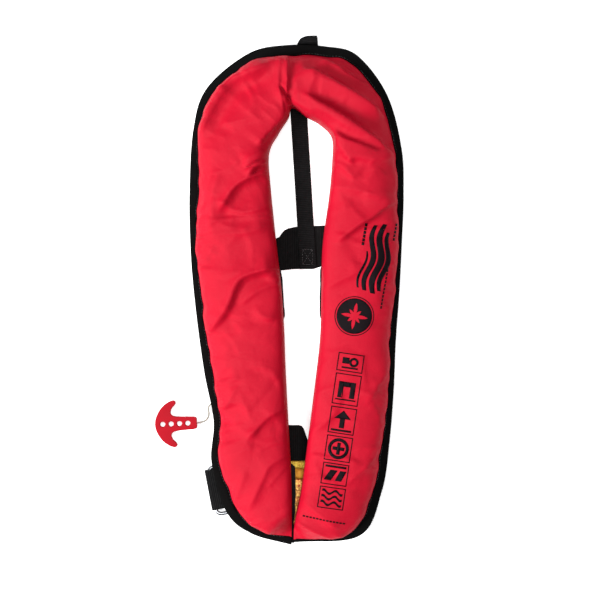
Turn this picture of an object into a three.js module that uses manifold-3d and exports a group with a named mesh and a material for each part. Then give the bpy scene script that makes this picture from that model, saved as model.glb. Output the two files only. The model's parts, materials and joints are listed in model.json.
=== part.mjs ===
// Inflatable life jacket, packed and lying on its back, front face up.
// Millimetres. +Z is up, +Y runs from the waist to the neck, +X to the viewer's right.
// The origin is on the underside of the waist belt, where it crosses behind the neck opening.
import * as THREE from 'three';
import { mergeVertices } from 'three/addons/utils/BufferGeometryUtils.js';
import Module from 'manifold-3d';

const wasm = await Module();
wasm.setup();

// ---------------------------------------------------------------- driving dimensions

// Matching points on the outer and the inner edge, from the foot of one lobe round the neck to the other.
const EDGE_PAIRS = [
  { outer: [-11, -352], inner: [-8.8, -329] },
  { outer: [-57, -339], inner: [-9, -306] },
  { outer: [-87, -314], inner: [-9.8, -280] },
  { outer: [-105.5, -252], inner: [-11.6, -244] },
  { outer: [-103.5, -205], inner: [-15, -195] },
  { outer: [-114, -150], inner: [-17.6, -140] },
  { outer: [-122, -95], inner: [-19, -92] },
  { outer: [-127, -38], inner: [-22, -42] },
  { outer: [-131, 12], inner: [-27.5, 6] },
  { outer: [-132, 70], inner: [-35, 70] },
  { outer: [-128, 142], inner: [-37, 114] },
  { outer: [-111, 193], inner: [-26, 138] },
  { outer: [-62, 234.5], inner: [-13, 159] },
  { outer: [0, 246], inner: [-1, 166.5] },
  { outer: [67, 233], inner: [22, 151] },
  { outer: [104, 185], inner: [37.5, 135] },
  { outer: [121.5, 123], inner: [38, 107] },
  { outer: [124, 65], inner: [35, 66] },
  { outer: [121.5, 5], inner: [27, 5] },
  { outer: [119, -50], inner: [26, -52] },
  { outer: [115, -105], inner: [24, -105] },
  { outer: [112, -165], inner: [17, -163] },
  { outer: [107, -225], inner: [10, -222] },
  { outer: [98, -287], inner: [2, -284] },
  { outer: [71, -341], inner: [-3, -312] },
  { outer: [14, -350], inner: [-5, -326] },
];
const STATIONS = 46;

const SHEET = 0.8;             // thickness of one layer of cloth or tape
const GAP = 0.4;               // room between two layers
const BASE_Z = 1.9;            // underside of the lowest layer of the cover
const BINDING_WIDTH = 9;
const FLANGE_WIDTH = 20.5;     // flat rim where the cover and the back panel meet
const COVER_RISE = 36;         // height of the packed lobe above its rim
const END_RISE = 4;            // the same at the foot of each lobe
const COVER_BOXINESS = 0.55;   // power of the lobe's cross-section, 1 is an ellipse
const FOOT_LIFT = 7.5;         // the feet of the lobes lie on the buckle ends
const LEFT_LIFT_Y = [-208, -250];
const RIGHT_LIFT_Y = [-118, -165];

const WEBBING = 1.5;
const EYE_OUTER = 4.4;         // webbing sewn round a bar
const EYE_WEBBING = 1.3;
const GRAB_OUTER = 5;          // the open eye of the grab loop
const ROD_RADIUS = 2.5;
const STRAP_LEAN = THREE.MathUtils.degToRad(3.5);
const STRAP_X = 8.4;          // middle of the back strap level with the frame's origin

const CYLINDER_X = -56;
const CYLINDER_Z = 19.6;
const LEVER_PIVOT = [CYLINDER_X, -178];
const LEVER_ARM = 24;
const LEVER_START = THREE.MathUtils.degToRad(72);
const PULL_ANGLE = THREE.MathUtils.degToRad(207);
const LEVER_LOW = 6.7;
const LEVER_HIGH = 9.3;
const MANIFOLD_Y = -197;

const CORD_RADIUS = 1.1;
const CORD_Z = 5.3;

const HANDLE_LOW = 1.0;
const HANDLE_THICKNESS = 5;
const HANDLE_STEM_END = [-123.3, -207];
const HANDLE_TILT = THREE.MathUtils.degToRad(182.7);

const ORAL_X = 62;
const ORAL_Z = 14;

const COLOURS = {
  redCloth: 0xe0263f,
  blackCloth: 0x14161a,
  yellowWebbing: 0xc79a1c,
  orangeBladder: 0xe8641b,
  silverTape: 0xc4c8ca,
  steel: 0xb9bcc0,
  brass: 0xb08d3c,
  blackPlastic: 0x1b1c1f,
  greyPlastic: 0x6a6e72,
  redPlastic: 0xc81e30,
  rubber: 0x222222,
  ivoryCord: 0xe9e4d2,
  orangePlastic: 0xf07a1a,
  greenPlastic: 0x2c9c4a,
};

// ---------------------------------------------------------------- helpers

const jacket = new THREE.Group();

function material(colour, roughness, metalness = 0) {
  return new THREE.MeshStandardMaterial({ color: colour, roughness, metalness });
}

const CLOTH = material(COLOURS.redCloth, 0.55);
const BLACK_CLOTH = material(COLOURS.blackCloth, 0.8);
const STEEL = material(COLOURS.steel, 0.3, 1);
const BRASS = material(COLOURS.brass, 0.35, 1);
const BLACK_PLASTIC = material(COLOURS.blackPlastic, 0.5);

function addPart(name, geometry, finish) {
  const mesh = new THREE.Mesh(geometry, finish);
  mesh.name = name;
  jacket.add(mesh);
  return mesh;
}

function smoothStep(low, high, value) {
  return THREE.MathUtils.smoothstep((value - low) / (high - low), 0, 1);
}

// Joined, position-only copy of a geometry, as boolean cuts need it.
function toSolid(geometry) {
  const bare = geometry.index ? geometry.clone() : geometry;
  bare.deleteAttribute('normal');
  bare.deleteAttribute('uv');
  const merged = mergeVertices(bare, 1e-4);
  const mesh = new wasm.Mesh({
    numProp: 3,
    vertProperties: new Float32Array(merged.attributes.position.array),
    triVerts: new Uint32Array(merged.index.array),
  });
  return new wasm.Manifold(mesh);
}

function fromSolid(solid) {
  const mesh = solid.getMesh();
  const geometry = new THREE.BufferGeometry();
  geometry.setAttribute('position', new THREE.BufferAttribute(mesh.vertProperties, 3));
  geometry.setIndex(new THREE.BufferAttribute(mesh.triVerts, 1));
  return geometry;
}

function cut(geometry, ...tools) {
  let solid = toSolid(geometry);
  for (const tool of tools) {
    solid = solid.subtract(toSolid(tool));
  }
  return fromSolid(solid);
}

function join(...geometries) {
  let solid = toSolid(geometries[0]);
  for (const piece of geometries.slice(1)) {
    solid = solid.add(toSolid(piece));
  }
  return fromSolid(solid);
}

// Box between two corners.
function box(low, high) {
  const size = high.map((value, axis) => value - low[axis]);
  const geometry = new THREE.BoxGeometry(...size);
  geometry.translate(...high.map((value, axis) => (value + low[axis]) / 2));
  return geometry;
}

// Upright cylinder centred on x, y, from low to high.
function post(x, y, radius, low, high, sides = 18) {
  const geometry = new THREE.CylinderGeometry(radius, radius, high - low, sides);
  geometry.rotateX(Math.PI / 2);
  geometry.translate(x, y, (low + high) / 2);
  return geometry;
}

// Turned piece about a line along +Y. The profile is a list of [radius, y].
function turned(profile, x, z, sides = 18) {
  const points = profile.map(([radius, y]) => new THREE.Vector2(radius, y));
  const geometry = new THREE.LatheGeometry(points, sides);
  geometry.translate(x, 0, z);
  return geometry;
}

// Flat plate with the outline of a shape.
function plate(shape, low, high, curveSegments = 8) {
  const options = { depth: high - low, bevelEnabled: false, curveSegments };
  const geometry = new THREE.ExtrudeGeometry(shape, options);
  geometry.translate(0, 0, low);
  return geometry;
}

function outlineShape(points) {
  return new THREE.Shape(points.map(([x, y]) => new THREE.Vector2(x, y)));
}

function signedVolume(positions, indices) {
  const a = new THREE.Vector3();
  const b = new THREE.Vector3();
  const c = new THREE.Vector3();
  let volume = 0;
  for (let i = 0; i < indices.length; i += 3) {
    a.fromArray(positions, indices[i] * 3);
    b.fromArray(positions, indices[i + 1] * 3);
    c.fromArray(positions, indices[i + 2] * 3);
    volume += a.dot(b.cross(c)) / 6;
  }
  return volume;
}

// Triangles that close a ring whose second half runs back beside its first half.
function capTriangles(count) {
  const triangles = [];
  for (let i = 0; i < (count - 1) / 2; i += 1) {
    const opposite = count - 1 - i;
    if (i + 1 < opposite - 1) triangles.push([i, i + 1, opposite - 1]);
    if (i + 1 < opposite) triangles.push([i, opposite - 1, opposite]);
  }
  return triangles;
}

// Solid through a row of rings of points, capped at both ends.
function loft(rings) {
  const count = rings[0].length;
  const positions = rings.flat().flatMap((point) => [point.x, point.y, point.z]);
  const indices = [];
  for (let row = 0; row < rings.length - 1; row += 1) {
    for (let side = 0; side < count; side += 1) {
      const next = (side + 1) % count;
      const a = row * count + side;
      const b = row * count + next;
      indices.push(a, b, b + count, a, b + count, a + count);
    }
  }
  const last = (rings.length - 1) * count;
  for (const [a, b, c] of capTriangles(count)) {
    indices.push(a, c, b);
    indices.push(last + a, last + b, last + c);
  }
  if (signedVolume(positions, indices) < 0) {
    for (let i = 0; i < indices.length; i += 3) {
      [indices[i + 1], indices[i + 2]] = [indices[i + 2], indices[i + 1]];
    }
  }
  const geometry = new THREE.BufferGeometry();
  geometry.setAttribute('position', new THREE.Float32BufferAttribute(positions, 3));
  geometry.setIndex(indices);
  return geometry;
}

// ---------------------------------------------------------------- the horseshoe

function edgeCurve(side) {
  const points = EDGE_PAIRS.map((pair) => new THREE.Vector3(...pair[side], 0));
  return new THREE.CatmullRomCurve3(points, false, 'centripetal');
}

const OUTER_EDGE = edgeCurve('outer');
const INNER_EDGE = edgeCurve('inner');

function footLift(middle) {
  const [start, end] = middle.x < 0 ? LEFT_LIFT_Y : RIGHT_LIFT_Y;
  return FOOT_LIFT * smoothStep(start, end, middle.y);
}

// One cross-section of the horseshoe, at a fraction of the way from foot to foot.
function stationAt(fraction) {
  const outer = OUTER_EDGE.getPoint(fraction);
  const inner = INNER_EDGE.getPoint(fraction);
  const across = inner.clone().sub(outer);
  const width = across.length();
  const lift = footLift(outer.clone().add(inner).multiplyScalar(0.5));
  const fullness = smoothStep(24, 66, width);
  return {
    outer,
    across: across.divideScalar(width),
    width,
    lift,
    flange: Math.min(FLANGE_WIDTH, width / 2),
    rise: END_RISE + (COVER_RISE - END_RISE - 0.6 * lift) * fullness,
  };
}

// Sweeps a cross-section, given as [distance from the outer edge, height], along the horseshoe.
function sweep(section, from = 0, to = 1) {
  const first = Math.round(from * STATIONS);
  const last = Math.round(to * STATIONS);
  const rings = [];
  for (let step = first; step <= last; step += 1) {
    const station = stationAt(step / STATIONS);
    rings.push(section(station).map(([w, z]) => {
      const point = station.outer.clone().addScaledVector(station.across, w);
      point.z = z + station.lift;
      return point;
    }));
  }
  return loft(rings);
}

// Heights of the stacked layers: 0 to 2 are the back panel's rim, 3 to 5 the front cover's.
function layerLow(index) {
  return BASE_Z + index * (SHEET + GAP);
}

function layerHigh(index) {
  return layerLow(index) + SHEET;
}

// Upper half of a rounded box from w0 to w1, as points from the outer side to the inner side.
function domeOutline(station, inset, steps) {
  const start = station.flange + inset;
  const end = station.width - inset;
  const centre = (start + end) / 2;
  const half = (end - start) / 2;
  const points = [];
  for (let i = 0; i <= steps; i += 1) {
    const angle = Math.PI * (1 - i / steps);
    const c = Math.cos(angle);
    const w = centre + half * Math.sign(c) * Math.abs(c) ** COVER_BOXINESS;
    const foot = i * 2 <= steps ? layerHigh(4) : layerLow(2);
    const skew = 0.86 + 0.14 * (w - start) / (end - start);
    const top = layerHigh(4) + (station.rise - inset) * skew;
    const z = foot + (top - foot) * Math.sin(angle) ** COVER_BOXINESS;
    points.push([w, z]);
  }
  return points;
}

function bindingSection(firstLayer) {
  const [lowerZ, upperZ] = [firstLayer, firstLayer + 2];
  return () => [
    [BINDING_WIDTH, layerLow(lowerZ)],
    [0, layerLow(lowerZ)],
    [0, layerHigh(upperZ)],
    [BINDING_WIDTH, layerHigh(upperZ)],
    [BINDING_WIDTH, layerLow(upperZ)],
    [SHEET, layerLow(upperZ)],
    [SHEET, layerHigh(lowerZ)],
    [BINDING_WIDTH, layerHigh(lowerZ)],
  ];
}

function coverSection(station) {
  const rim = SHEET + GAP;
  const outside = domeOutline(station, 0, 8);
  const inside = domeOutline(station, SHEET, 8);
  inside[0][1] = layerLow(4);
  return [
    [rim, layerLow(4)],
    [BINDING_WIDTH, layerLow(4)],
    ...inside,
    ...outside.reverse(),
    [BINDING_WIDTH, layerHigh(4)],
    [rim, layerHigh(4)],
  ];
}

function panelSection(station) {
  const widths = [SHEET + GAP, BINDING_WIDTH, station.flange, station.width + 1];
  const lower = widths.map((w) => [w, layerLow(1)]);
  const upper = widths.map((w) => [w, layerHigh(1)]).reverse();
  return [...lower, ...upper];
}

function tapeSection(layer) {
  const low = BINDING_WIDTH + GAP;
  const high = FLANGE_WIDTH - GAP;
  return () => [
    [low, layerLow(layer)],
    [high, layerLow(layer)],
    [high, layerHigh(layer)],
    [low, layerHigh(layer)],
  ];
}

function bladderSection(station) {
  const floor = layerLow(2) + SHEET;
  const top = domeOutline(station, 3.5, 6);
  top[0][1] = floor;
  top[top.length - 1][1] = floor;
  return top;
}

// The straight way of the pull cord between the two rims.
const PULL_DIRECTION = new THREE.Vector3(Math.cos(PULL_ANGLE), Math.sin(PULL_ANGLE), 0);
const LEVER_EYE = new THREE.Vector3(
  LEVER_PIVOT[0] + LEVER_ARM * Math.cos(LEVER_START),
  LEVER_PIVOT[1] + LEVER_ARM * Math.sin(LEVER_START),
  CORD_Z,
);

function cordChannel() {
  const length = 40;
  const channel = new THREE.BoxGeometry(length, 5, 2 * CORD_RADIUS + 0.8);
  channel.rotateZ(PULL_ANGLE);
  const middle = LEVER_EYE.clone().addScaledVector(PULL_DIRECTION, 44 + length / 2);
  channel.translate(middle.x, middle.y, middle.z);
  return channel;
}

function makeCovers() {
  addPart('front_cover', sweep(coverSection), CLOTH);
  addPart('back_panel', sweep(panelSection), BLACK_CLOTH);
  addPart('front_binding', cut(sweep(bindingSection(3)), cordChannel()), BLACK_CLOTH);
  addPart('back_binding', cut(sweep(bindingSection(0)), cordChannel()), BLACK_CLOTH);
}

// The closure tapes leave a gap where the pull cord passes out.
function makeClosureTapes() {
  const lower = [0.07, 0.155];
  const upper = [0.215, 0.93];
  addPart('loop_tape_lower', sweep(tapeSection(2), ...lower), BLACK_CLOTH);
  addPart('hook_tape_lower', sweep(tapeSection(3), ...lower), BLACK_CLOTH);
  addPart('loop_tape_upper', sweep(tapeSection(2), ...upper), BLACK_CLOTH);
  addPart('hook_tape_upper', sweep(tapeSection(3), ...upper), BLACK_CLOTH);
}

function makeBladder() {
  const pockets = [
    box([-100, -216, 0], [-34, -144, 60]),
    box([-74, -150, 0], [-38, -18, 60]),
    box([48, 2, 0], [94, 134, 60]),
  ];
  const cloth = material(COLOURS.orangeBladder, 0.5);
  addPart('air_bladder', cut(sweep(bladderSection, 0.08, 0.92), ...pockets), cloth);
  const silver = material(COLOURS.silverTape, 0.3, 0.2);
  const low = layerLow(2);
  const high = low + 0.4;
  addPart('reflective_patch_left', box([-100, 30, low], [-52, 110, high]), silver);
  addPart('reflective_patch_right', box([42, -110, low], [92, -30, high]), silver);
}

// ---------------------------------------------------------------- harness

// Webbing whose end is sewn round a bar: an eye at the origin and a tail along +X on its upper side.
function webbingEye(tail, width, outer = EYE_OUTER) {
  const shape = new THREE.Shape();
  const inner = outer - EYE_WEBBING;
  const meeting = Math.asin(inner / outer);
  shape.moveTo(tail, outer);
  shape.lineTo(0, outer);
  shape.absarc(0, 0, outer, Math.PI / 2, 2 * Math.PI + meeting, false);
  shape.lineTo(tail, inner);
  const hole = new THREE.Path();
  hole.absarc(0, 0, inner, 0, 2 * Math.PI, false);
  shape.holes.push(hole);
  const options = { depth: width, bevelEnabled: false, curveSegments: 9 };
  const geometry = new THREE.ExtrudeGeometry(shape, options);
  geometry.translate(0, 0, -width / 2);
  geometry.rotateX(Math.PI / 2);
  return geometry;
}

function makeWaistBelt() {
  const runInside = 35;
  const runOutside = 85;
  const runEnd = -255;
  const shape = new THREE.Shape();
  shape.moveTo(-runOutside, runEnd);
  shape.lineTo(-runInside, runEnd);
  shape.lineTo(-runInside, -24);
  shape.quadraticCurveTo(0, -21, runInside, -20);
  shape.lineTo(runInside, runEnd);
  shape.lineTo(runOutside, runEnd);
  shape.lineTo(runOutside, 30);
  shape.lineTo(0, 29);
  shape.quadraticCurveTo(-14, 27, -30, 12);
  shape.lineTo(-runOutside, 8);
  addPart('waist_belt', plate(shape, 0, WEBBING), BLACK_CLOTH);
}

// The back strap lies on the floor, steps over the belt and ends on it, where it is sewn down.
function makeBackStrap() {
  const over = WEBBING + GAP;
  const low = 0.2;
  const thick = 1.3;
  const side = outlineShape([
    [190, low], [190, low + thick], [44, low + thick], [32, over + thick],
    [-22.5, over + thick], [-22.5, over], [33, over], [46, low],
  ]);
  const width = 20;
  const geometry = new THREE.ExtrudeGeometry(side, { depth: width, bevelEnabled: false });
  geometry.translate(0, 0, -width / 2);
  geometry.applyMatrix4(new THREE.Matrix4().makeBasis(
    new THREE.Vector3(0, 1, 0), new THREE.Vector3(0, 0, 1), new THREE.Vector3(1, 0, 0),
  ));
  const strap = addPart('back_strap', geometry, BLACK_CLOTH);
  strap.rotation.z = STRAP_LEAN;
  strap.position.set(STRAP_X, 0, 0);
}

function makeGrabLoop() {
  const geometry = webbingEye(46, 27, GRAB_OUTER);
  geometry.rotateX(Math.PI);
  const loop = addPart('grab_loop', geometry, BLACK_CLOTH);
  loop.rotation.z = -Math.PI / 2;
  loop.position.set(8.5, 251.6, GRAB_OUTER + 0.1);
}

function makeBeltTail() {
  const shape = new THREE.Shape();
  shape.moveTo(-34.5, -253);
  shape.lineTo(14, -253);
  shape.lineTo(12, -234);
  shape.lineTo(5, -215);
  shape.quadraticCurveTo(4, -210, -1, -210);
  shape.lineTo(-34.5, -210);
  addPart('belt_tail', plate(shape, 0, WEBBING), BLACK_CLOTH);
}

function makeCrotchStrap() {
  const geometry = box([-26, -333, 0], [26, -253.6, 5]);
  addPart('crotch_strap', geometry, material(COLOURS.yellowWebbing, 0.7));
}

// Closed rounded rectangle of round rod, in the XY plane, with one long bar on the Y axis.
function rodRing(depth, length, corner) {
  const half = length / 2 - ROD_RADIUS;
  const path = new THREE.CurvePath();
  const corners = [[0, -half], [depth, -half], [depth, half], [0, half]];
  const points = corners.map(([x, y]) => new THREE.Vector3(x, y, 0));
  points.forEach((point, index) => {
    const before = points[(index + 3) % 4];
    const after = points[(index + 1) % 4];
    const enter = point.clone().lerp(before, corner / point.distanceTo(before));
    const leave = point.clone().lerp(after, corner / point.distanceTo(after));
    const nextEnter = after.clone().lerp(point, corner / point.distanceTo(after));
    path.add(new THREE.QuadraticBezierCurve3(enter, point, leave));
    path.add(new THREE.LineCurve3(leave, nextEnter));
  });
  return new THREE.TubeGeometry(path, 32, ROD_RADIUS, 6, true);
}

function makeRingEnd() {
  const frame = new THREE.Group();
  frame.position.set(-105.2, -289.2, EYE_OUTER);
  frame.rotation.z = THREE.MathUtils.degToRad(11);
  const strap = new THREE.Mesh(webbingEye(62, 48), BLACK_CLOTH);
  strap.name = 'ring_webbing';
  const ring = new THREE.Mesh(rodRing(27, 62, 7), STEEL);
  ring.name = 'buckle_ring';
  frame.add(strap, ring);
  jacket.add(frame);
}

// Stamped hook: a bar for the webbing, a wide window and an open throat for the ring.
function hookPlate() {
  const shape = outlineShape([
    [-2, -30], [8, -30], [30, -24], [40, -20], [40, -6], [33, -6], [33, -14], [22, -17],
    [18, 0], [22, 17], [33, 14], [33, 6], [40, 6], [40, 20], [30, 24], [8, 30], [-2, 30],
  ]);
  const slot = new THREE.Path();
  slot.moveTo(2, -26);
  slot.lineTo(2, 26);
  slot.lineTo(9, 26);
  slot.lineTo(9, -26);
  shape.holes.push(slot);
  return plate(shape, -1.6, 1.6);
}

function makeHookEnd() {
  const frame = new THREE.Group();
  frame.position.set(60, -268, EYE_OUTER);
  const strap = new THREE.Mesh(webbingEye(98, 48), BLACK_CLOTH);
  strap.name = 'hook_webbing';
  strap.rotation.z = Math.PI / 2;
  const hook = new THREE.Mesh(hookPlate(), STEEL);
  hook.name = 'buckle_hook';
  hook.rotation.z = -Math.PI / 2;
  frame.add(strap, hook);
  jacket.add(frame);
}

// Adjuster on the hook webbing: two bars under it and one over it.
function makeSlider() {
  const x = [33.5, 35.4, 84.6, 86.5];
  const y = [-248, -244, -238, -234, -228, -224];
  const z = [4.8, 7.1, 9.1, 10];
  const geometry = join(
    box([x[0], y[0], z[0]], [x[1], y[5], z[3]]),
    box([x[2], y[0], z[0]], [x[3], y[5], z[3]]),
    box([x[0], y[0], z[0]], [x[3], y[1], z[1]]),
    box([x[0], y[4], z[0]], [x[3], y[5], z[1]]),
    box([x[0], y[2], z[2]], [x[3], y[3], z[3]]),
  );
  addPart('belt_slider', geometry, STEEL);
}

// ---------------------------------------------------------------- pull handle and cord

function handleShape() {
  const shape = new THREE.Shape();
  shape.moveTo(0, 0);
  shape.lineTo(0, -5);
  shape.quadraticCurveTo(0, -7.3, 3, -7.3);
  shape.lineTo(24, -8.6);
  shape.quadraticCurveTo(31, -9.5, 31, -14.5);
  shape.quadraticCurveTo(29, -19, 25.5, -22.5);
  shape.quadraticCurveTo(23.5, -27.5, 29, -27.8);
  shape.bezierCurveTo(40, -24, 50.5, -14, 50.5, 0);
  shape.bezierCurveTo(50.5, 14, 40, 24, 29, 27.8);
  shape.quadraticCurveTo(23.5, 27.5, 25.5, 22.5);
  shape.quadraticCurveTo(29, 19, 31, 14.5);
  shape.quadraticCurveTo(31, 9.5, 24, 8.6);
  shape.lineTo(3, 7.3);
  shape.quadraticCurveTo(0, 7.3, 0, 5);
  for (const u of [11, 21, 31, 41]) {
    const hole = new THREE.Path();
    hole.absarc(u, 0, 3, 0, 2 * Math.PI, false);
    shape.holes.push(hole);
  }
  return shape;
}

function makeHandle() {
  const geometry = plate(handleShape(), 0, HANDLE_THICKNESS, 5);
  const handle = addPart('pull_handle', geometry, material(COLOURS.redPlastic, 0.45));
  handle.rotation.z = HANDLE_TILT;
  handle.position.set(...HANDLE_STEM_END, HANDLE_LOW);
}

// Route of the cord from the lever's eye to the handle's stem.
function cordRoute() {
  const inside = [0, 22, 44, 56, 65.5].map((along) => (
    LEVER_EYE.clone().addScaledVector(PULL_DIRECTION, along)
  ));
  const outside = [
    [-109.2, -187.6, 4.8], [-109.6, -191.4, 3.6], [-109.5, -195.4, 2.3], [-110.1, -199.4, 1.7],
    [-112.0, -203.0, 1.6], [-115.0, -205.4, 1.8], [-118.6, -206.6, 2.6], [-122.6, -207.0, 3.5],
  ];
  return [...inside, ...outside.map((point) => new THREE.Vector3(...point))];
}

function makeCord() {
  const sides = 8;
  const section = new THREE.Shape();
  for (let i = 0; i < sides; i += 1) {
    const angle = (2 * Math.PI * (i + 0.5)) / sides;
    const x = CORD_RADIUS * Math.cos(angle);
    const y = CORD_RADIUS * Math.sin(angle);
    if (i === 0) section.moveTo(x, y);
    else section.lineTo(x, y);
  }
  const path = new THREE.CatmullRomCurve3(cordRoute(), false, 'centripetal');
  const options = { steps: 22, extrudePath: path, bevelEnabled: false };
  addPart('pull_cord', new THREE.ExtrudeGeometry(section, options), material(COLOURS.ivoryCord, 0.8));
}

// ---------------------------------------------------------------- inflator

function makeInflatorBody() {
  const half = 16;
  const side = outlineShape([
    [-208, 9.7], [-150, 9.7], [-150, 33.5], [-187, 33.5], [-187, 26], [-208, 26],
  ]);
  const block = new THREE.ExtrudeGeometry(side, { depth: 2 * half, bevelEnabled: false });
  block.applyMatrix4(new THREE.Matrix4().makeBasis(
    new THREE.Vector3(0, 1, 0), new THREE.Vector3(0, 0, 1), new THREE.Vector3(1, 0, 0),
  ));
  block.translate(CYLINDER_X - half, 0, 0);
  const [pivotX, pivotY] = LEVER_PIVOT;
  const neckBore = turned([[0, -163], [7, -163], [7, -149], [0, -149]], CYLINDER_X, CYLINDER_Z);
  const springBore = turned([[0, -172], [5.2, -172], [5.2, -162], [0, -162]], CYLINDER_X, CYLINDER_Z);
  const geometry = cut(
    block,
    neckBore,
    springBore,
    post(pivotX, pivotY, 8.4, 9, 27),
    post(pivotX, pivotY, 1.9, 26, 35, 12),
    post(CYLINDER_X, MANIFOLD_Y, 5.4, 9, 27),
  );
  addPart('inflator_body', geometry, BLACK_PLASTIC);
}

// Lever plate with its cam, which pushes the piercing pin as the plate swings out.
function makeLever() {
  const [pivotX, pivotY] = LEVER_PIVOT;
  const arm = new THREE.Shape();
  const halfWidth = 4.5;
  arm.absarc(0, 0, 6.5, Math.PI / 2, -Math.PI / 2, false);
  arm.absarc(LEVER_ARM, 0, halfWidth, -Math.PI / 2, Math.PI / 2, false);
  const swing = plate(arm, LEVER_LOW, LEVER_HIGH);
  swing.rotateZ(LEVER_START);
  swing.translate(pivotX, pivotY, 0);
  const camOffset = 3;
  const shaft = post(pivotX, pivotY, 3.8, LEVER_HIGH - 1, 15);
  const cam = post(pivotX + camOffset, pivotY, 4.5, 15 - 0.5, 25);
  const bore = post(pivotX, pivotY, 1.8, 0, 30, 12);
  const eye = post(LEVER_EYE.x, LEVER_EYE.y, 1.4, 0, 12, 10);
  const geometry = cut(join(swing, shaft, cam), bore, eye);
  addPart('inflator_lever', geometry, material(COLOURS.greyPlastic, 0.5));
  addPart('lever_pin', post(pivotX, pivotY, 1.4, LEVER_LOW - 0.2, 33, 12), STEEL);
}

function helix(radius, wire, length, turns) {
  class Helix extends THREE.Curve {
    getPoint(t, target = new THREE.Vector3()) {
      const angle = 2 * Math.PI * turns * t;
      return target.set(radius * Math.cos(angle), wire + (length - 2 * wire) * t, radius * Math.sin(angle));
    }
  }
  const section = new THREE.Shape();
  section.absarc(0, 0, wire, 0, 2 * Math.PI, false);
  return new THREE.ExtrudeGeometry(section, {
    steps: turns * 8,
    curveSegments: 2,
    extrudePath: new Helix(),
    bevelEnabled: false,
  });
}

function makePiercer() {
  const pin = [[0, -172.6], [3, -172.6], [3, -165], [1.6, -162.5], [0.6, -158.6], [0, -158.6]];
  addPart('piercing_pin', turned(pin, CYLINDER_X, CYLINDER_Z, 16), STEEL);
  const spring = helix(4.3, 0.5, 5.6, 3);
  const mesh = addPart('piercer_spring', spring, STEEL);
  mesh.position.set(CYLINDER_X, -169.4, CYLINDER_Z);
}

function makeCylinder() {
  const profile = [
    [2.4, -160.8], [6.3, -160.8], [6.3, -149], [13, -141], [15, -134], [15, -38], [11, -28],
    [0, -25.5], [0, -28], [12.5, -40], [12.5, -134], [2.4, -146], [2.4, -160.8],
  ];
  addPart('gas_cylinder', turned(profile, CYLINDER_X, CYLINDER_Z, 20), STEEL);
  const seal = [[4, -162.6], [6.2, -162.6], [6.2, -161.2], [4, -161.2], [4, -162.6]];
  addPart('cylinder_seal', turned(seal, CYLINDER_X, CYLINDER_Z), material(COLOURS.rubber, 0.9));
}

function makeManifold() {
  const flange = post(CYLINDER_X, MANIFOLD_Y, 11, layerLow(2), 6.1);
  const stem = post(CYLINDER_X, MANIFOLD_Y, 5, 6, 31);
  addPart('inflator_manifold', join(flange, stem), BRASS);
  const rubber = material(COLOURS.rubber, 0.9);
  const collar = cut(
    post(CYLINDER_X, MANIFOLD_Y, 8, 6.4, 9.4), post(CYLINDER_X, MANIFOLD_Y, 5.3, 5, 11),
  );
  addPart('manifold_seal', collar, rubber);
  const nut = cut(
    post(CYLINDER_X, MANIFOLD_Y, 8, 26.3, 32, 6), post(CYLINDER_X, MANIFOLD_Y, 5.3, 25, 30.9 + 0.4),
  );
  addPart('manifold_nut', nut, BRASS);
  const clip = box([CYLINDER_X + 16.3, -176, 14], [CYLINDER_X + 18, -164, 24]);
  addPart('ready_indicator', clip, material(COLOURS.greenPlastic, 0.5));
}

// ---------------------------------------------------------------- oral tube and whistle

function makeOralTube() {
  const plastic = BLACK_PLASTIC;
  const disc = post(ORAL_X, 24, 11, layerLow(2), 6.2);
  const neck = box([ORAL_X - 7, 17, 6], [ORAL_X + 7, 31, 21]);
  const spigot = turned([[0, 30], [4.4, 30], [4.4, 42], [0, 42]], ORAL_X, ORAL_Z);
  const airWay = turned([[0, 24], [2.5, 24], [2.5, 43], [0, 43]], ORAL_X, ORAL_Z, 12);
  addPart('oral_elbow', cut(join(disc, neck, spigot), airWay), plastic);
  const tube = [[4.8, 31.4], [7, 31.4], [7, 88], [4.8, 88], [4.8, 31.4]];
  addPart('oral_tube', turned(tube, ORAL_X, ORAL_Z), material(COLOURS.rubber, 0.8));
  const valve = [
    [2.2, 78], [4.4, 78], [4.4, 88.4], [8, 88.4], [8, 112], [4.6, 112], [4.6, 92], [2.2, 92],
    [2.2, 78],
  ];
  addPart('oral_valve', turned(valve, ORAL_X, ORAL_Z), plastic);
  const poppet = [
    [0, 88], [1.7, 88], [1.7, 100], [4.1, 100], [4.1, 103], [2, 103], [2, 110], [0, 110],
  ];
  addPart('valve_poppet', turned(poppet, ORAL_X, ORAL_Z, 16), material(COLOURS.orangePlastic, 0.5));
  const spring = addPart('valve_spring', helix(3.2, 0.45, 3.6, 2), STEEL);
  spring.position.set(ORAL_X, 92.4, ORAL_Z);
  const cap = [[0, 114.2], [8.4, 114.2], [8.4, 98], [9.8, 98], [9.8, 116], [0, 116]];
  addPart('dust_cap', turned(cap, ORAL_X, ORAL_Z), plastic);
}

function makeWhistle() {
  const shape = new THREE.Shape();
  shape.moveTo(0, 0);
  shape.lineTo(13, 0);
  shape.lineTo(13, 30);
  shape.quadraticCurveTo(13, 44, 6.5, 44);
  shape.quadraticCurveTo(0, 44, 0, 30);
  const body = plate(shape, 0, 9);
  const mouth = box([3, -1, 3], [10, 26, 6]);
  const window = box([2, 20, 5], [11, 24, 12]);
  const mesh = addPart('whistle', cut(body, mouth, window), material(COLOURS.orangePlastic, 0.4));
  mesh.position.set(76, 44, 5);
}

// ---------------------------------------------------------------- assembly

makeCovers();
makeClosureTapes();
makeBladder();
makeWaistBelt();
makeBackStrap();
makeGrabLoop();
makeBeltTail();
makeCrotchStrap();
makeRingEnd();
makeHookEnd();
makeSlider();
makeHandle();
makeCord();
makeInflatorBody();
makeLever();
makePiercer();
makeCylinder();
makeManifold();
makeOralTube();
makeWhistle();

export default jacket;
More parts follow.
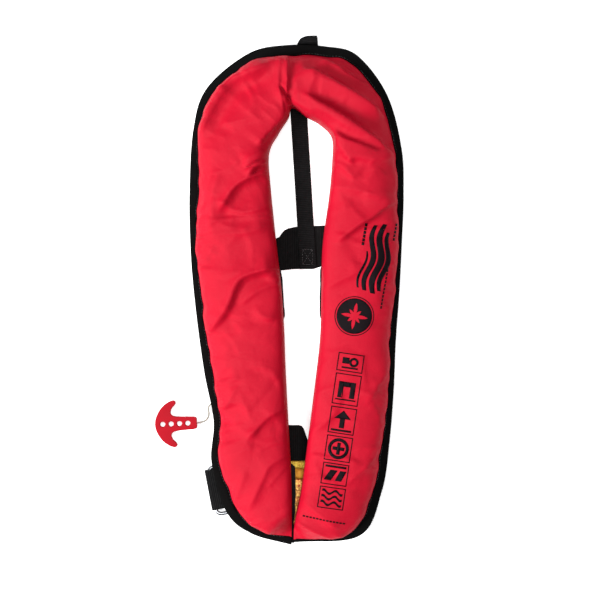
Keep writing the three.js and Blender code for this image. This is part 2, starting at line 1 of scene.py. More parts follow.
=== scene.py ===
"""Looks of a packed inflatable life jacket, built around its CAD frame. Metres, +Z up, +Y to the neck."""

import json
import math
from contextlib import contextmanager

import bmesh
import bpy
import numpy as np
from mathutils import Matrix, Vector
from mathutils.bvhtree import BVHTree


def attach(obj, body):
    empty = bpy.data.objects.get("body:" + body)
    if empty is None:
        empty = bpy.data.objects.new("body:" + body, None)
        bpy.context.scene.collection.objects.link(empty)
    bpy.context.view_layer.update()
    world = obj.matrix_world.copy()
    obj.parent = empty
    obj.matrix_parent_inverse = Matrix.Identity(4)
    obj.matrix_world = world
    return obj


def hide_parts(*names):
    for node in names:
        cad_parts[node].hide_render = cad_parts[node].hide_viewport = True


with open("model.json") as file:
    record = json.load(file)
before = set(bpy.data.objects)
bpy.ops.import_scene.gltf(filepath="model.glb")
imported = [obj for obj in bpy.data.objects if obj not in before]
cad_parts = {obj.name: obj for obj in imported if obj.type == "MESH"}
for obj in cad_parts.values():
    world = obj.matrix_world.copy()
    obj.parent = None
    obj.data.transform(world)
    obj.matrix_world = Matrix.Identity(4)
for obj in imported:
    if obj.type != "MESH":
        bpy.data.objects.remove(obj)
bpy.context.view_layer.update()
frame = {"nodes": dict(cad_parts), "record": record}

MM = 0.001
RANDOM = np.random.default_rng(7)

# ------------------------------------------------------------ driving dimensions, in millimetres

# Matching points on the outer and inner edge, and the width of binding seen there, foot to foot.
EDGE = [
    ((-10, -352), (-9.8, -334), 9), ((-57, -339), (-9.6, -308), 10.5), ((-87, -314), (-10, -280), 14),
    ((-105.5, -255), (-11.4, -247), 10), ((-103.5, -205), (-14.4, -195), 8.5),
    ((-114, -150), (-17.2, -140), 10.5), ((-122, -95), (-19, -92), 9.5), ((-128.5, -36), (-22.5, -42), 9),
    ((-131.5, 12), (-28, 6), 7), ((-132.2, 70), (-34.6, 70), 12), ((-128, 142), (-37, 114), 8),
    ((-112, 193), (-26, 138), 12), ((-62, 235), (-14, 157), 13.5), ((-16, 245), (-9, 169.5), 14),
    ((30, 243.5), (9, 158), 13), ((68, 233), (24, 149.5), 12.5), ((104, 186), (38, 134), 10.5),
    ((121.5, 122), (38.5, 106), 9), ((124, 65), (35, 66), 8), ((121.8, 5), (27, 5), 4.6),
    ((119, -50), (25.5, -52), 6), ((115, -105), (24, -105), 8), ((112, -165), (17.5, -163), 6.5),
    ((107.3, -225), (10, -222), 9.5), ((98, -287), (1.6, -284), 11.5), ((71.5, -341), (-4.6, -314), 12.5),
    ((-7.4, -349), (-7.4, -333), 3),
]
SHEET = 0.8                      # thickness of one cloth
LAYER_PITCH = 1.2                # from one cloth of the stack to the next
BASE_Z = 1.9                     # underside of the stack
TAPE_WIDTH = 8.8
FOOT_LIFT = 7.5                  # the feet lie this much higher, on the belt
LEFT_LIFT_Y = (-208, -250)
RIGHT_LIFT_Y = (-118, -165)
COVER_RISE = 35.5                # of a full lobe above its rim
FLAT_RISE = 5                    # of the narrowest stretch
PEAK_PLACE = 0.58                # crest of a lobe, as a share of its width from the outer edge
COLLAR_CREST = 0.21              # how far the crest shifts inwards at the right of the collar
FULL_AT = (14, 62)               # the cover puffs up between these widths
SIMULATED_SHARE = 0.5            # part of the cloth run's displacement that is used
SIMULATED_CAP = 3.0
# Waves along the horseshoe, as how many, how high and the phase: of the cover's sewn edge, its puckers and
# their strength, its inner edge, the tapes' legs and height, and the panel's edge.
SEAM_WAVES = [(17, 0.45, 0.4), (29, 0.4, 2.0), (47, 0.35, 1.0), (71, 0.2, 3.1)]
PUCKER_WAVES = [(61, 0.55, 0.3), (97, 0.45, 1.9), (143, 0.3, 4.0), (37, 0.5, 2.2)]
STRENGTH_WAVES = [(7, 0.5, 1.0), (13, 0.35, 3.0)]
INNER_WAVES = [(47, 0.3, 0.8), (83, 0.2, 2.9), (29, 0.3, 5.1)]
LEG_WAVES = [(53, 0.25, 0.2), (89, 0.2, 1.1), (131, 0.15, 2.5), (17, 0.3, 4.0)]
TAPE_WAVES = [(41, 0.18, 1.2), (23, 0.2, 0.4)]
PANEL_WAVES = [(31, 0.2, 0.5), (19, 0.2, 2.0), (57, 0.15, 1.0)]
CLOTH = {
    "quality": 8, "mass": 0.2, "tension_stiffness": 25, "compression_stiffness": 25, "shear_stiffness": 12,
    "bending_stiffness": 0.08, "shrink_min": -0.055, "use_pressure": True, "uniform_pressure_force": 2.2,
    "vertex_group_mass": "held",
}
SETTLE_FRAMES = 22
FOLD_LIMITS = (-11, 9)
SMALL_WRINKLES = 90
# The panel's reach past the left foot fills the gap between the feet with dark cloth: partly the real black
# panel and binding, partly painted shade of that gap.
FOOT_CORNER = 2.6                # the panel shows this far past the left foot
COVER_STATIONS = 640
TUCK_STEPS = 6
DOME_STEPS = 54

# Folds of the cover by kind: depth, half width and the line that each follows. A drape falls to the right
# of its line, seen walking along it.
FOLDS = {
    "drape": [
        (10, 5.5, [(-124, 128), (-110, 150), (-103, 167), (-92, 184), (-80, 198), (-54, 209), (-20, 226)]),
        (4.4, 2.3, [(-18, 170), (-16, 188), (-15, 204), (-15, 238)]),
        (2.7, 2.7, [(-17, 150), (-22, 178), (-25, 198), (-23, 232)]),
        (5.2, 3.6, [(-52, 120), (-33, 142), (-12, 158)]),
        (8, 3.4, [(-66, 96), (-50, 106), (-34, 110), (-22, 112)]),
        (7.4, 5.4, [(-98, 38), (-88, 56), (-78, 72), (-64, 82), (-42, 90), (-26, 94)]),
        (4.8, 3.6, [(-64, 84), (-52, 98), (-40, 100), (-26, 100)]),
        (3.1, 7.2, [(-106, 22), (-102, 46), (-100, 66), (-94, 96)]),
        (3.3, 3.2, [(-98, 60), (-82, 47), (-66, 43), (-44, 48), (-30, 54)]),
        (3.3, 8.1, [(-128, 14), (-85, 18), (-62, 20), (-34, 30)]),
        (6.7, 5, [(-120, -112), (-94, -82), (-83, -63), (-77, -46), (-67, -33), (-40, -24), (-20, -20)]),
        (2.7, 4.5, [(-74, -68), (-45, -47), (-14, -38)]),
        (2.1, 4, [(-104, -204), (-85, -183), (-72, -158)]),
        (2.4, 6.3, [(-104, -194), (-76, -181), (-56, -194)]),
        (4, 4.9, [(-66, -232), (-42, -202), (-18, -188), (0, -184)]),
        (2.3, 9, [(-112, -240), (-80, -243), (-50, -230)]),
        (1.8, 4, [(-54, -240), (-30, -229), (-4, -224)]),
        (3.1, 5.9, [(-64, -316), (-44, -272), (-34, -254), (-4, -238)]),
        (2, 5.4, [(-86, -314), (-72, -286), (-62, -256)]),
        (8.6, 3.2, [(100, 188), (80, 197), (68, 202), (54, 210), (42, 219), (24, 230), (2, 238)]),
        (12, 4.8, [(122, 140), (94, 163), (80, 172), (66, 181), (50, 190), (36, 198), (16, 208), (0, 212)]),
        (12, 5.2, [(124, 98), (102, 115), (90, 127), (74, 139), (58, 150),
            (44, 159), (24, 171), (-8, 190)]),
        (8, 3.6, [(106, 104), (80, 116), (64, 123), (50, 130), (38, 137), (22, 148), (2, 164)]),
        (5.6, 3.1, [(28, 138), (46, 121), (62, 98)]),
        (2.9, 3.1, [(30, 106), (50, 96), (66, 80)]),
        (2.4, 4, [(58, 110), (85, 104), (116, 107)]),
        (2.3, 5.9, [(24, 76), (62, 70), (108, 60)]),
        (4.5, 3.4, [(40, 6), (56, 18), (72, 30), (88, 40), (100, 50), (128, 62)]),
        (2.2, 4.5, [(88, -48), (104, -40), (126, -26)]),
        (2.2, 5.9, [(14, -52), (46, -38), (76, -22)]),
        (2.6, 5.9, [(76, -186), (98, -152), (120, -132)]),
        (2.7, 5.9, [(50, -282), (84, -250), (112, -224)]),
        (3, 5, [(-12, -286), (16, -308), (48, -334)]),
        (2.6, 5, [(4, -220), (28, -206), (48, -186)]),
    ],
    "valley": [
        (9, 3.4, [(-26, 197), (-14, 179), (-8, 168), (-6, 150)]),
        (5, 3.2, [(30, 146), (42, 128), (52, 112), (60, 96)]),
        (8.5, 3.6, [(-66, 92), (-54, 102), (-40, 107), (-20, 110)]),
        (5, 3.8, [(-60, 86), (-48, 94), (-34, 100)]),
        (1.9, 2.7, [(-118, -112), (-88, -84), (-78, -66), (-71, -50), (-58, -36)]),
    ],
    "ridge": [
        (1.6, 2.7, [(-100, 98), (-108, 66), (-117, 36), (-124, 18)]),
        (1.9, 2.9, [(-128, 18), (-104, 30), (-87, 36), (-44, 38), (-26, 38)]),
        (1.2, 2.7, [(-74, -156), (-66, -182), (-54, -208)]),
        (1.3, 3.1, [(-112, -234), (-74, -228), (-46, -208)]),
    ],
}

# Upper and lower edge of the waist belt where it crosses the neck opening, and of its free end.
BELT_TOP = [
    (-84, 11), (-32, 12), (-28.5, 14), (-25, 15.5), (-22, 20), (-19, 23.4), (-14, 26), (-4, 28),
    (30, 29.5), (84, 29.5),
]
BELT_BOTTOM = [(-84, -26), (-20, -24.5), (-8, -23), (16, -23), (22, -21), (28, -19), (84, -19)]
WEBBING = 1.3                    # thickness
TAIL_TOP = [(-34.5, -210), (-1, -210), (2, -211), (4.5, -214), (10, -230), (14, -253)]
TAIL_BOTTOM = -253
STRAP_X = 8.5
# Heights of the back strap along its way down: it rises onto the belt.
STRAP_HEIGHTS = [
    (190, 0.9), (160, 0.9), (100, 0.9), (60, 1.0), (46, 1.1), (39, 1.8), (32, 2.6), (20, 2.65),
    (0, 2.65), (-12, 2.65), (-22.5, 2.65),
]
STRAP_LEAN = math.radians(3.5)

CORD_RADIUS = 1.1
BRAID_PITCH = 6.0
# Route of the pull cord from the lever's eye to the handle's stem, as in the CAD source.
LEVER_EYE = (-48.584, -155.175, 5.3)
PULL_DIRECTION = (-0.891007, -0.453990, 0)
CORD_STRAIGHT = (0, 11, 22, 33, 44, 50, 56, 61, 65.5)
CORD_TURN = [
    (-109.2, -187.6, 4.8), (-109.6, -191.4, 3.6), (-109.5, -195.4, 2.3), (-110.1, -199.4, 1.7),
    (-112.0, -203.0, 1.6), (-115.0, -205.4, 1.8), (-118.6, -206.6, 2.6), (-122.6, -207.0, 3.5),
]

BLADDER_MARGIN = 6
EMBLEM_CENTRE = (64, -79)
# The waves beside the emblem: place across, half width, and where each begins and ends.
WAVES = ((-25, 3.2, 34, 104), (-16.5, 4.2, 30, 113), (-7, 3.4, 32, 110), (0.6, 1.5, 34, 78))
BOX_LINES = [-122, -146, -185, -219, -251, -279, -307]

PICTURE_MM = 720               # what the camera's frame spans on the floor
PICTURE_CENTRE_Y = -60
LENS = 120
SENSOR = 36
WORLD_LIGHT = 0.2
FLOOR_GLOW = 0.45                # the floor is a softly lit panel


# ------------------------------------------------------------ small helpers

def bar(x0, y0, x1, y1):
    """Corners of an upright rectangle."""
    return [(x0, y0), (x1, y0), (x1, y1), (x0, y1)]


def leaning(origin, turn, points):
    """Plan points of a drawing in its own frame, turned and put in place."""
    c, s = math.cos(turn), math.sin(turn)
    return [(origin[0] + c * x - s * y, origin[1] + s * x + c * y) for x, y in points]


def smooth_step(low, high, value):
    t = np.clip((np.asarray(value, float) - low) / (high - low), 0, 1)
    return t * t * (3 - 2 * t)


def spline(points, per_span=12):
    """Points on a smooth curve through the given ones."""
    p = np.asarray(points, float)
    p = np.vstack([2 * p[0] - p[1], p, 2 * p[-1] - p[-2]])
    t = np.linspace(0, 1, per_span, endpoint=False)[:, None]
    spans = []
    for a, b, c, d in zip(p[:-3], p[1:-2], p[2:-1], p[3:]):
        cubic = (3 * b - a - 3 * c + d) * t ** 3
        square = (2 * a - 5 * b + 4 * c - d) * t ** 2
        spans.append(0.5 * (2 * b + (c - a) * t + square + cubic))
    return np.vstack([*spans, p[-2][None]])


def lengths_along(points):
    steps = np.linalg.norm(np.diff(points, axis=0), axis=1)
    return np.concatenate([[0], np.cumsum(steps)])


def directions(points):
    tangent = np.gradient(np.asarray(points, float), axis=0)
    return tangent / np.linalg.norm(tangent, axis=1)[:, None]


def resample(points, count):
    """The same line with points evenly spaced along it."""
    points = np.asarray(points, float)
    at = lengths_along(points)
    even = np.linspace(0, at[-1], count)
    return np.stack([np.interp(even, at, points[:, k]) for k in range(points.shape[1])], axis=1)


def link(item):
    bpy.context.scene.collection.objects.link(item)
    return item


def add_object(name, mesh, slot, node=None, body="jacket", finish=None):
    """Object in the colours of a slot, riding on a body, in the place of a CAD node if one is named."""
    piece = link(bpy.data.objects.new(name, mesh))
    mesh.materials.clear()
    mesh.materials.append(finish or FINISHES[slot])
    smooth_shading(mesh)
    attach(piece, body)
    if node:
        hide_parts(node)
    return piece


def add_grid(name, points, slot, node=None, body="jacket", finish=None, **shape):
    mesh = grid_mesh(name, points, **shape)
    face_outwards(mesh)
    return add_object(name, mesh, slot, node, body, finish)


def smooth_shading(mesh, sharp_past=None):
    """Smooth shading, with sharp edges past an angle in degrees."""
    mesh.polygons.foreach_set("use_smooth", [True] * len(mesh.polygons))
    if sharp_past:
        mesh.set_sharp_from_angle(angle=math.radians(sharp_past))


def grid_mesh(name, points, close_rows=False, close_columns=False, caps=False):
    """Mesh over a grid of points in millimetres, with a UV map in metres along and across."""
    points = np.asarray(points, float) * MM
    rows, columns = points.shape[:2]
    row = np.arange(rows if close_rows else rows - 1)
    column = np.arange(columns if close_columns else columns - 1)
    r, c = np.meshgrid(row, column, indexing="ij")
    r2, c2 = (r + 1) % rows, (c + 1) % columns
    quads = np.stack([r * columns + c, r * columns + c2, r2 * columns + c2, r2 * columns + c], -1)
    faces = quads.reshape(-1, 4).tolist()
    if caps:
        faces.append(list(range(columns - 1, -1, -1)))
        faces.append(list(range((rows - 1) * columns, rows * columns)))
    mesh = bpy.data.meshes.new(name)
    mesh.from_pydata(points.reshape(-1, 3).tolist(), [], faces)
    along = lengths_along(points.mean(axis=1))
    middle = np.vstack([points[rows // 2], points[rows // 2][:1]])
    across = lengths_along(middle)
    u = np.append(along, along[-1] + (along[-1] - along[-2]))
    layer = mesh.uv_layers.new(name="UVMap")
    corner_u = np.stack([u[r], u[r], u[r + 1], u[r + 1]], -1).reshape(-1)
    corner_v = np.stack([across[c], across[c + 1], across[c + 1], across[c]], -1).reshape(-1)
    values = np.zeros(len(mesh.loops) * 2)
    values[0:2 * len(corner_u):2] = corner_u
    values[1:2 * len(corner_v):2] = corner_v
    layer.data.foreach_set("uv", values)
    mesh.update()
    return mesh


@contextmanager
def edited(mesh):
    """The mesh as a bmesh that is written back afterwards."""
    built = bmesh.new()
    built.from_mesh(mesh)
    yield built
    built.to_mesh(mesh)
    built.free()


def face_outwards(mesh):
    with edited(mesh) as built:
        bmesh.ops.recalc_face_normals(built, faces=built.faces)


def apply_modifiers(piece):
    depsgraph = bpy.context.evaluated_depsgraph_get()
    mesh = bpy.data.meshes.new_from_object(piece.evaluated_get(depsgraph))
    piece.modifiers.clear()
    piece.data = mesh


def thicken(piece, thickness, offset):
    skin = piece.modifiers.new("thickness", "SOLIDIFY")
    skin.thickness = thickness * MM
    skin.offset = offset
    apply_modifiers(piece)


# ------------------------------------------------------------ materials

class Finish:
    """A node material under construction."""

    def __init__(self, name, colour, roughness, metallic=0.0, sheen=0.0, gloss=0.5):
        self.material = bpy.data.materials.new(name)
        self.material.use_nodes = True
        self.tree = self.material.node_tree
        self.shader = self.tree.nodes["Principled BSDF"]
        self.colour = colour
        self.relief = None
        values = {
            "Base Color": (*colour, 1), "Roughness": roughness, "Metallic": metallic, "Sheen Weight": sheen,
            "Sheen Roughness": 0.4, "IOR": 1 + gloss,
        }
        for socket, value in values.items():
            self.shader.inputs[socket].default_value = value
        self.coords = self.tree.nodes.new("ShaderNodeTexCoord").outputs

    def add(self, kind, values, inputs, output):
        """Output of a new node, with fixed values and linked inputs."""
        node = self.tree.nodes.new("ShaderNode" + kind)
        for socket, value in values.items():
            node.inputs[socket].default_value = value
        for socket, value in inputs.items():
            self.tree.links.new(value, node.inputs[socket])
        return node.outputs[output]

    def drive(self, socket, value):
        self.tree.links.new(value, self.shader.inputs[socket])

    def noise(self, scale, detail=4, distortion=0.0):
        values = {"Scale": scale, "Detail": detail, "Distortion": distortion}
        return self.add("TexNoise", values, {"Vector": self.coords["Object"]}, "Fac")

    def bands(self, pitch, direction, source="UV", distortion=0.0):
        values = {"Scale": math.pi / (10 * pitch), "Distortion": distortion}
        wave = self.add("TexWave", values, {"Vector": self.coords[source]}, "Fac")
        wave.node.bands_direction = direction
        return wave

    def maths(self, operation, a, b):
        fixed = {k: v for k, v in enumerate((a, b)) if isinstance(v, (int, float))}
        linked = {k: v for k, v in enumerate((a, b)) if k not in fixed}
        result = self.add("Math", fixed, linked, 0)
        result.node.operation = operation
        return result

    def ramp(self, value, low, high):
        return self.add("MapRange", {"To Min": low, "To Max": high}, {"Value": value}, "Result")

    def mix_colours(self, value, first, second):
        mix = self.add("Mix", {}, {}, 0).node
        mix.data_type = "RGBA"
        mix.inputs["A"].default_value = (*first, 1)
        mix.inputs["B"].default_value = (*second, 1)
        self.tree.links.new(value, mix.inputs["Factor"])
        self.drive("Base Color", mix.outputs["Result"])

    def vary_colour(self, value, dark, light):
        self.mix_colours(value, [c * dark for c in self.colour], [min(1, c * light) for c in self.colour])

    def vary_roughness(self, value, low, high):
        self.drive("Roughness", self.ramp(value, low, high))

    def matt_edges(self):
        """No mirror-like rim where the surface turns away."""
        facing = self.add("LayerWeight", {}, {}, "Facing")
        self.drive("Specular IOR Level", self.ramp(facing, 0.5, 0.0))

    def bump(self, value, distance):
        inputs = {"Height": value}
        if self.relief:
            inputs["Normal"] = self.relief
        self.relief = self.add("Bump", {"Distance": distance}, inputs, "Normal")
        self.drive("Normal", self.relief)


def crease_lines(finish, scale, distortion):
    """Thin lines where a slow noise passes its middle value: creases of a stiff coated cloth."""
    slow = finish.noise(scale, 3, distortion=distortion)
    away = finish.maths("ABSOLUTE", finish.maths("SUBTRACT", slow, 0.5), 0)
    return finish.maths("MINIMUM", finish.maths("MULTIPLY", away, 9.0), 1.0)


def coated_cloth(name, colour, roughness=0.42, thread=0.0006):
    finish = Finish(name, colour, roughness, gloss=0.17)
    finish.vary_colour(finish.noise(14, 5, distortion=0.4), 0.86, 1.1)
    finish.vary_roughness(finish.noise(60, 3), roughness - 0.06, roughness + 0.1)
    weave = finish.maths("ADD", finish.bands(thread, "X", "Object"), finish.bands(thread, "Y", "Object"))
    ripple = finish.maths("MULTIPLY", finish.noise(220, 4), 4.0)
    finish.bump(finish.maths("ADD", weave, ripple), 0.00006)
    finish.bump(crease_lines(finish, 12, 0.6), 0.0004)
    finish.matt_edges()
    return finish.material


def plain_weave(name, colour, roughness=0.8, thread=0.0008):
    finish = Finish(name, colour, roughness, sheen=0.05, gloss=0.2)
    weave = finish.maths("MULTIPLY", finish.bands(thread, "X"), finish.bands(thread, "Y"))
    finish.vary_colour(finish.maths("MULTIPLY", finish.noise(180, 4), weave), 0.6, 2.0)
    finish.vary_roughness(finish.noise(90, 3), roughness - 0.12, roughness + 0.08)
    finish.bump(weave, 0.00012)
    return finish.material


def ribbed_webbing(name, colour, pitch=0.0022, roughness=0.78, light=2.4, gloss=0.16, metallic=0.0):
    finish = Finish(name, colour, roughness, metallic, gloss=gloss)
    ribs = finish.bands(pitch, "X", distortion=0.4)
    threads = finish.bands(0.0009, "Y")
    height = finish.maths("ADD", ribs, finish.maths("MULTIPLY", threads, 0.5))
    finish.vary_colour(finish.maths("MULTIPLY", height, finish.noise(240, 4)), 0.7, light)
    finish.vary_roughness(finish.noise(120, 3), roughness - 0.1, roughness + 0.12)
    finish.bump(height, 0.00018)
    finish.matt_edges()
    return finish.material


def hook_and_loop(name, colour):
    finish = Finish(name, colour, 0.9, sheen=0.6)
    fuzz = finish.noise(1500, 6, distortion=1.0)
    finish.vary_colour(fuzz, 0.5, 2.5)
    finish.bump(fuzz, 0.0004)
    return finish.material


def moulded(name, colour, roughness=0.4, gloss=0.5):
    finish = Finish(name, colour, roughness, gloss=gloss)
    finish.vary_colour(finish.noise(40, 4), 0.92, 1.06)
    finish.vary_roughness(finish.noise(160, 5), roughness - 0.07, roughness + 0.1)
    finish.bump(finish.noise(2200, 3), 0.00002)
    return finish.material


def metal(name, colour, roughness=0.24, grain=900):
    finish = Finish(name, colour, roughness, metallic=1.0)
    finish.vary_colour(finish.noise(55, 5), 0.82, 1.05)
    finish.vary_roughness(finish.noise(grain, 6, distortion=0.6), roughness - 0.08, roughness + 0.14)
    finish.bump(finish.noise(grain, 4), 0.00001)
    return finish.material


def braided(name, colour):
    finish = Finish(name, colour, 0.75, sheen=0.4)
    finish.vary_colour(finish.noise(900, 4), 0.85, 1.1)
    finish.bump(finish.noise(2600, 3), 0.00008)
    return finish.material


def ink(name, colour):
    finish = Finish(name, colour, 0.5, gloss=0.14)
    finish.vary_colour(finish.noise(300, 5), 0.6, 1.6)
    finish.vary_roughness(finish.noise(120, 3), 0.4, 0.6)
    return finish.material


def sparkling_webbing(name, dark, light):
    """Loose weave of two thread colours, with a bright thread here and there."""
    finish = Finish(name, light, 0.32, metallic=0.55)
    cells = finish.add("TexVoronoi", {"Scale": 520}, {"Vector": finish.coords["Object"]}, "Distance")
    threads = finish.ramp(finish.noise(420, 3, distortion=0.8), -1.1, 2.1)
    finish.mix_colours(threads, dark, light)
    finish.bump(cells, 0.0004)
    return finish.material


SLOTS = {slot["slot"]: tuple(slot["base_color"][:3]) for slot in frame["record"]["materials"]}
FINISHES = {
    "red_cloth": coated_cloth("red_cloth", (0.405, 0.0044, 0.0185), 0.42),
    "black_cloth": plain_weave("black_cloth", SLOTS["black_cloth"]),
    "black_tape": ribbed_webbing("black_tape", (0.0026, 0.0026, 0.0026), 0.0013, 0.7, 1.6, 0.11),
    "closure_tape": hook_and_loop("closure_tape", SLOTS["closure_tape"]),
    "black_webbing": ribbed_webbing("black_webbing", (0.0036, 0.0036, 0.0037), light=3.6, gloss=0.12),
    "yellow_webbing": sparkling_webbing("yellow_webbing", (0.55, 0.07, 0.02), (1.0, 0.62, 0.14)),
    "bladder_cloth": coated_cloth("bladder_cloth", SLOTS["bladder_cloth"], 0.5),
    "steel": metal("steel", (0.36, 0.37, 0.39)),
    "cylinder_steel": metal("cylinder_steel", SLOTS["cylinder_steel"], 0.34),
    "brass": metal("brass", SLOTS["brass"], 0.3),
    "red_plastic": moulded("red_plastic", (0.31, 0.006, 0.013), 0.42, 0.12),
    "ivory_cord": braided("ivory_cord", (0.27, 0.26, 0.22)),
}
MOULDED_ROUGHNESS = {
    "silver_tape": 0.25, "black_plastic": 0.5, "grey_plastic": 0.5, "orange_plastic": 0.4,
    "green_plastic": 0.4, "rubber": 0.8,
}
for slot_name, slot_roughness in MOULDED_ROUGHNESS.items():
    FINISHES[slot_name] = moulded(slot_name, SLOTS[slot_name], slot_roughness)
BLACK_THREAD = braided("black_thread", (0.006, 0.006, 0.007))
BLACK_INK = ink("black_ink", (0.004, 0.002, 0.003))
YELLOW_SATIN = ribbed_webbing("yellow_satin", (1.0, 0.60, 0.08), 0.0016, 0.27, 1.3, 0.3, 0.45)
ORANGE_RIB = ribbed_webbing("orange_rib", (1.0, 0.36, 0.04), 0.0016, 0.35, 1.5, 0.3, 0.4)


# ------------------------------------------------------------ camera, light and floor

def make_camera():
    data = bpy.data.cameras.new("camera")
    data.lens = LENS
    data.sensor_width = SENSOR
    data.clip_end = 20
    camera = link(bpy.data.objects.new("camera", data))
    camera.location = (0, PICTURE_CENTRE_Y * MM, PICTURE_MM * MM * LENS / SENSOR)
    bpy.context.scene.camera = camera


def area_light(name, place, target, size, power):
    data = bpy.data.lights.new(name, "AREA")
    data.shape = "DISK"
    data.size = size
    data.energy = power
    light = link(bpy.data.objects.new(name, data))
    light.location = place
    light.rotation_euler = (Vector(target) - Vector(place)).to_track_quat("-Z", "Y").to_euler()


def make_stage():
    world = bpy.data.worlds.new("studio")
    world.use_nodes = True
    background = world.node_tree.nodes["Background"]
    background.inputs["Color"].default_value = (1, 1, 1, 1)
    background.inputs["Strength"].default_value = WORLD_LIGHT
    bpy.context.scene.world = world
    bpy.context.scene.view_settings.view_transform = "Standard"
    area_light("key", (-4.2, -1.6, 3.6), (0, -0.05, 0), 2.6, 640)
    area_light("overhead", (0.2, 0.4, 3.7), (0, -0.06, 0), 2.4, 95)
    mesh = bpy.data.meshes.new("floor")
    mesh.from_pydata([(x, y, 0) for x, y in bar(-6, -6, 6, 6)], [], [(0, 1, 2, 3)])
    floor = link(bpy.data.objects.new("floor", mesh))
    finish = Finish("floor_paint", (0.97, 0.97, 0.97), 0.9)
    finish.vary_colour(finish.noise(3, 2), 0.99, 1.01)
    finish.shader.inputs["Emission Color"].default_value = (1, 1, 1, 1)
    finish.shader.inputs["Emission Strength"].default_value = FLOOR_GLOW
    mesh.materials.append(finish.material)


# ------------------------------------------------------------ pull cord and handle

def carried_normals(path):
    """Two unit normals carried along a line of points without twisting."""
    tangent = directions(path)
    normal = np.zeros_like(tangent)
    side = np.cross(tangent[0], [0, 0, 1.0])
    normal[0] = side / np.linalg.norm(side)
    for i in range(1, len(path)):
        carried = normal[i - 1] - tangent[i] * np.dot(normal[i - 1], tangent[i])
        normal[i] = carried / np.linalg.norm(carried)
    return normal, np.cross(tangent, normal)


def make_pull_cord():
    """Round braid: two sets of strands wind about the cord in opposite directions."""
    start = np.array(LEVER_EYE)
    straight = [start + along * np.array(PULL_DIRECTION) for along in CORD_STRAIGHT]
    path = resample(spline([*straight, *CORD_TURN], 10), 420)
    angle = np.linspace(0, 2 * math.pi, 16, endpoint=False)
    rings = []
    for centre, along, a, b in zip(path, lengths_along(path), *carried_normals(path)):
        turns = 3 * 2 * math.pi * along / BRAID_PITCH
        strands = np.abs(np.sin(4 * angle + turns)) + np.abs(np.sin(4 * angle - turns)) - 1
        r = CORD_RADIUS - 0.05 + 0.07 * strands
        rings.append(centre + (r * np.cos(angle))[:, None] * a + (r * np.sin(angle))[:, None] * b)
    mesh = grid_mesh("pull_cord_braid", rings, close_columns=True, caps=True)
    return add_object("pull_cord_braid", mesh, "ivory_cord", "pull_cord", "pull"), path


def flat_moulding(name, outline, holes, low, high, bevel, slot, node, body, place):
    """Plate with rounded edges between two heights, from an outline and its holes in its own frame."""
    curve = bpy.data.curves.new(name, "CURVE")
    curve.dimensions = "2D"
    curve.fill_mode = "BOTH"
    curve.extrude = (high - low - 2 * bevel) / 2 * MM
    curve.bevel_depth = bevel * MM
    curve.bevel_resolution = 3
    curve.offset = -bevel * MM
    for loop in [outline, *holes]:
        line = curve.splines.new("POLY")
        line.points.add(len(loop) - 1)
        for point, (x, y) in zip(line.points, loop):
            point.co = (x * MM, y * MM, 0, 1)
        line.use_cyclic_u = True
    drawing = link(bpy.data.objects.new(name + "_drawing", curve))
    bpy.context.view_layer.update()
    mesh = bpy.data.meshes.new_from_object(drawing.evaluated_get(bpy.context.evaluated_depsgraph_get()))
    bpy.data.objects.remove(drawing)
    with edited(mesh) as built:
        bmesh.ops.remove_doubles(built, verts=built.verts, dist=0.02 * MM)
        bmesh.ops.dissolve_degenerate(built, edges=built.edges, dist=0.005 * MM)
        bmesh.ops.recalc_face_normals(built, faces=built.faces)
    turn, x, y = place
    centre = Vector((x, y, (low + high) / 2)) * MM
    mesh.transform(Matrix.Translation(centre) @ Matrix.Rotation(turn, 4, "Z"))
    piece = add_object(name, mesh, slot, node, body)
    smooth_shading(mesh, sharp_past=40)
    return piece


def circle(x, y, radius, count=40):
    angle = np.linspace(0, 2 * math.pi, count, endpoint=False)
    return list(zip(x + radius * np.cos(angle), y + radius * np.sin(angle)))


def make_pull_handle():
    half = spline([
        (0, 0), (0, 3.6), (0.8, 6.4), (3.6, 7.4), (12, 7.9), (22, 8.5), (27, 9.2), (30.2, 11.2),
        (31, 14.6), (29.4, 18.6), (26, 22.2), (24.6, 25.2), (26, 27.6), (29.2, 27.9), (34.5, 25.8),
        (41.5, 20.5), (46.8, 13), (49.7, 6), (50.5, 0),
    ], 6)
    outline = [tuple(p) for p in np.vstack([half, half[::-1][1:-1] * (1, -1)])]
    holes = [circle(u, 0, 3) for u in (11, 21, 31, 41)]
    place = (math.radians(182.7), -123.3, -207)
    return flat_moulding(
        "pull_handle_moulded", outline, holes, 1.0, 6.0, 1.0, "red_plastic", "pull_handle", "pull", place,
    )


make_camera()
make_stage()
pull_cord, cord_path = make_pull_cord()
pull_handle = make_pull_handle()


# ------------------------------------------------------------ the horseshoe

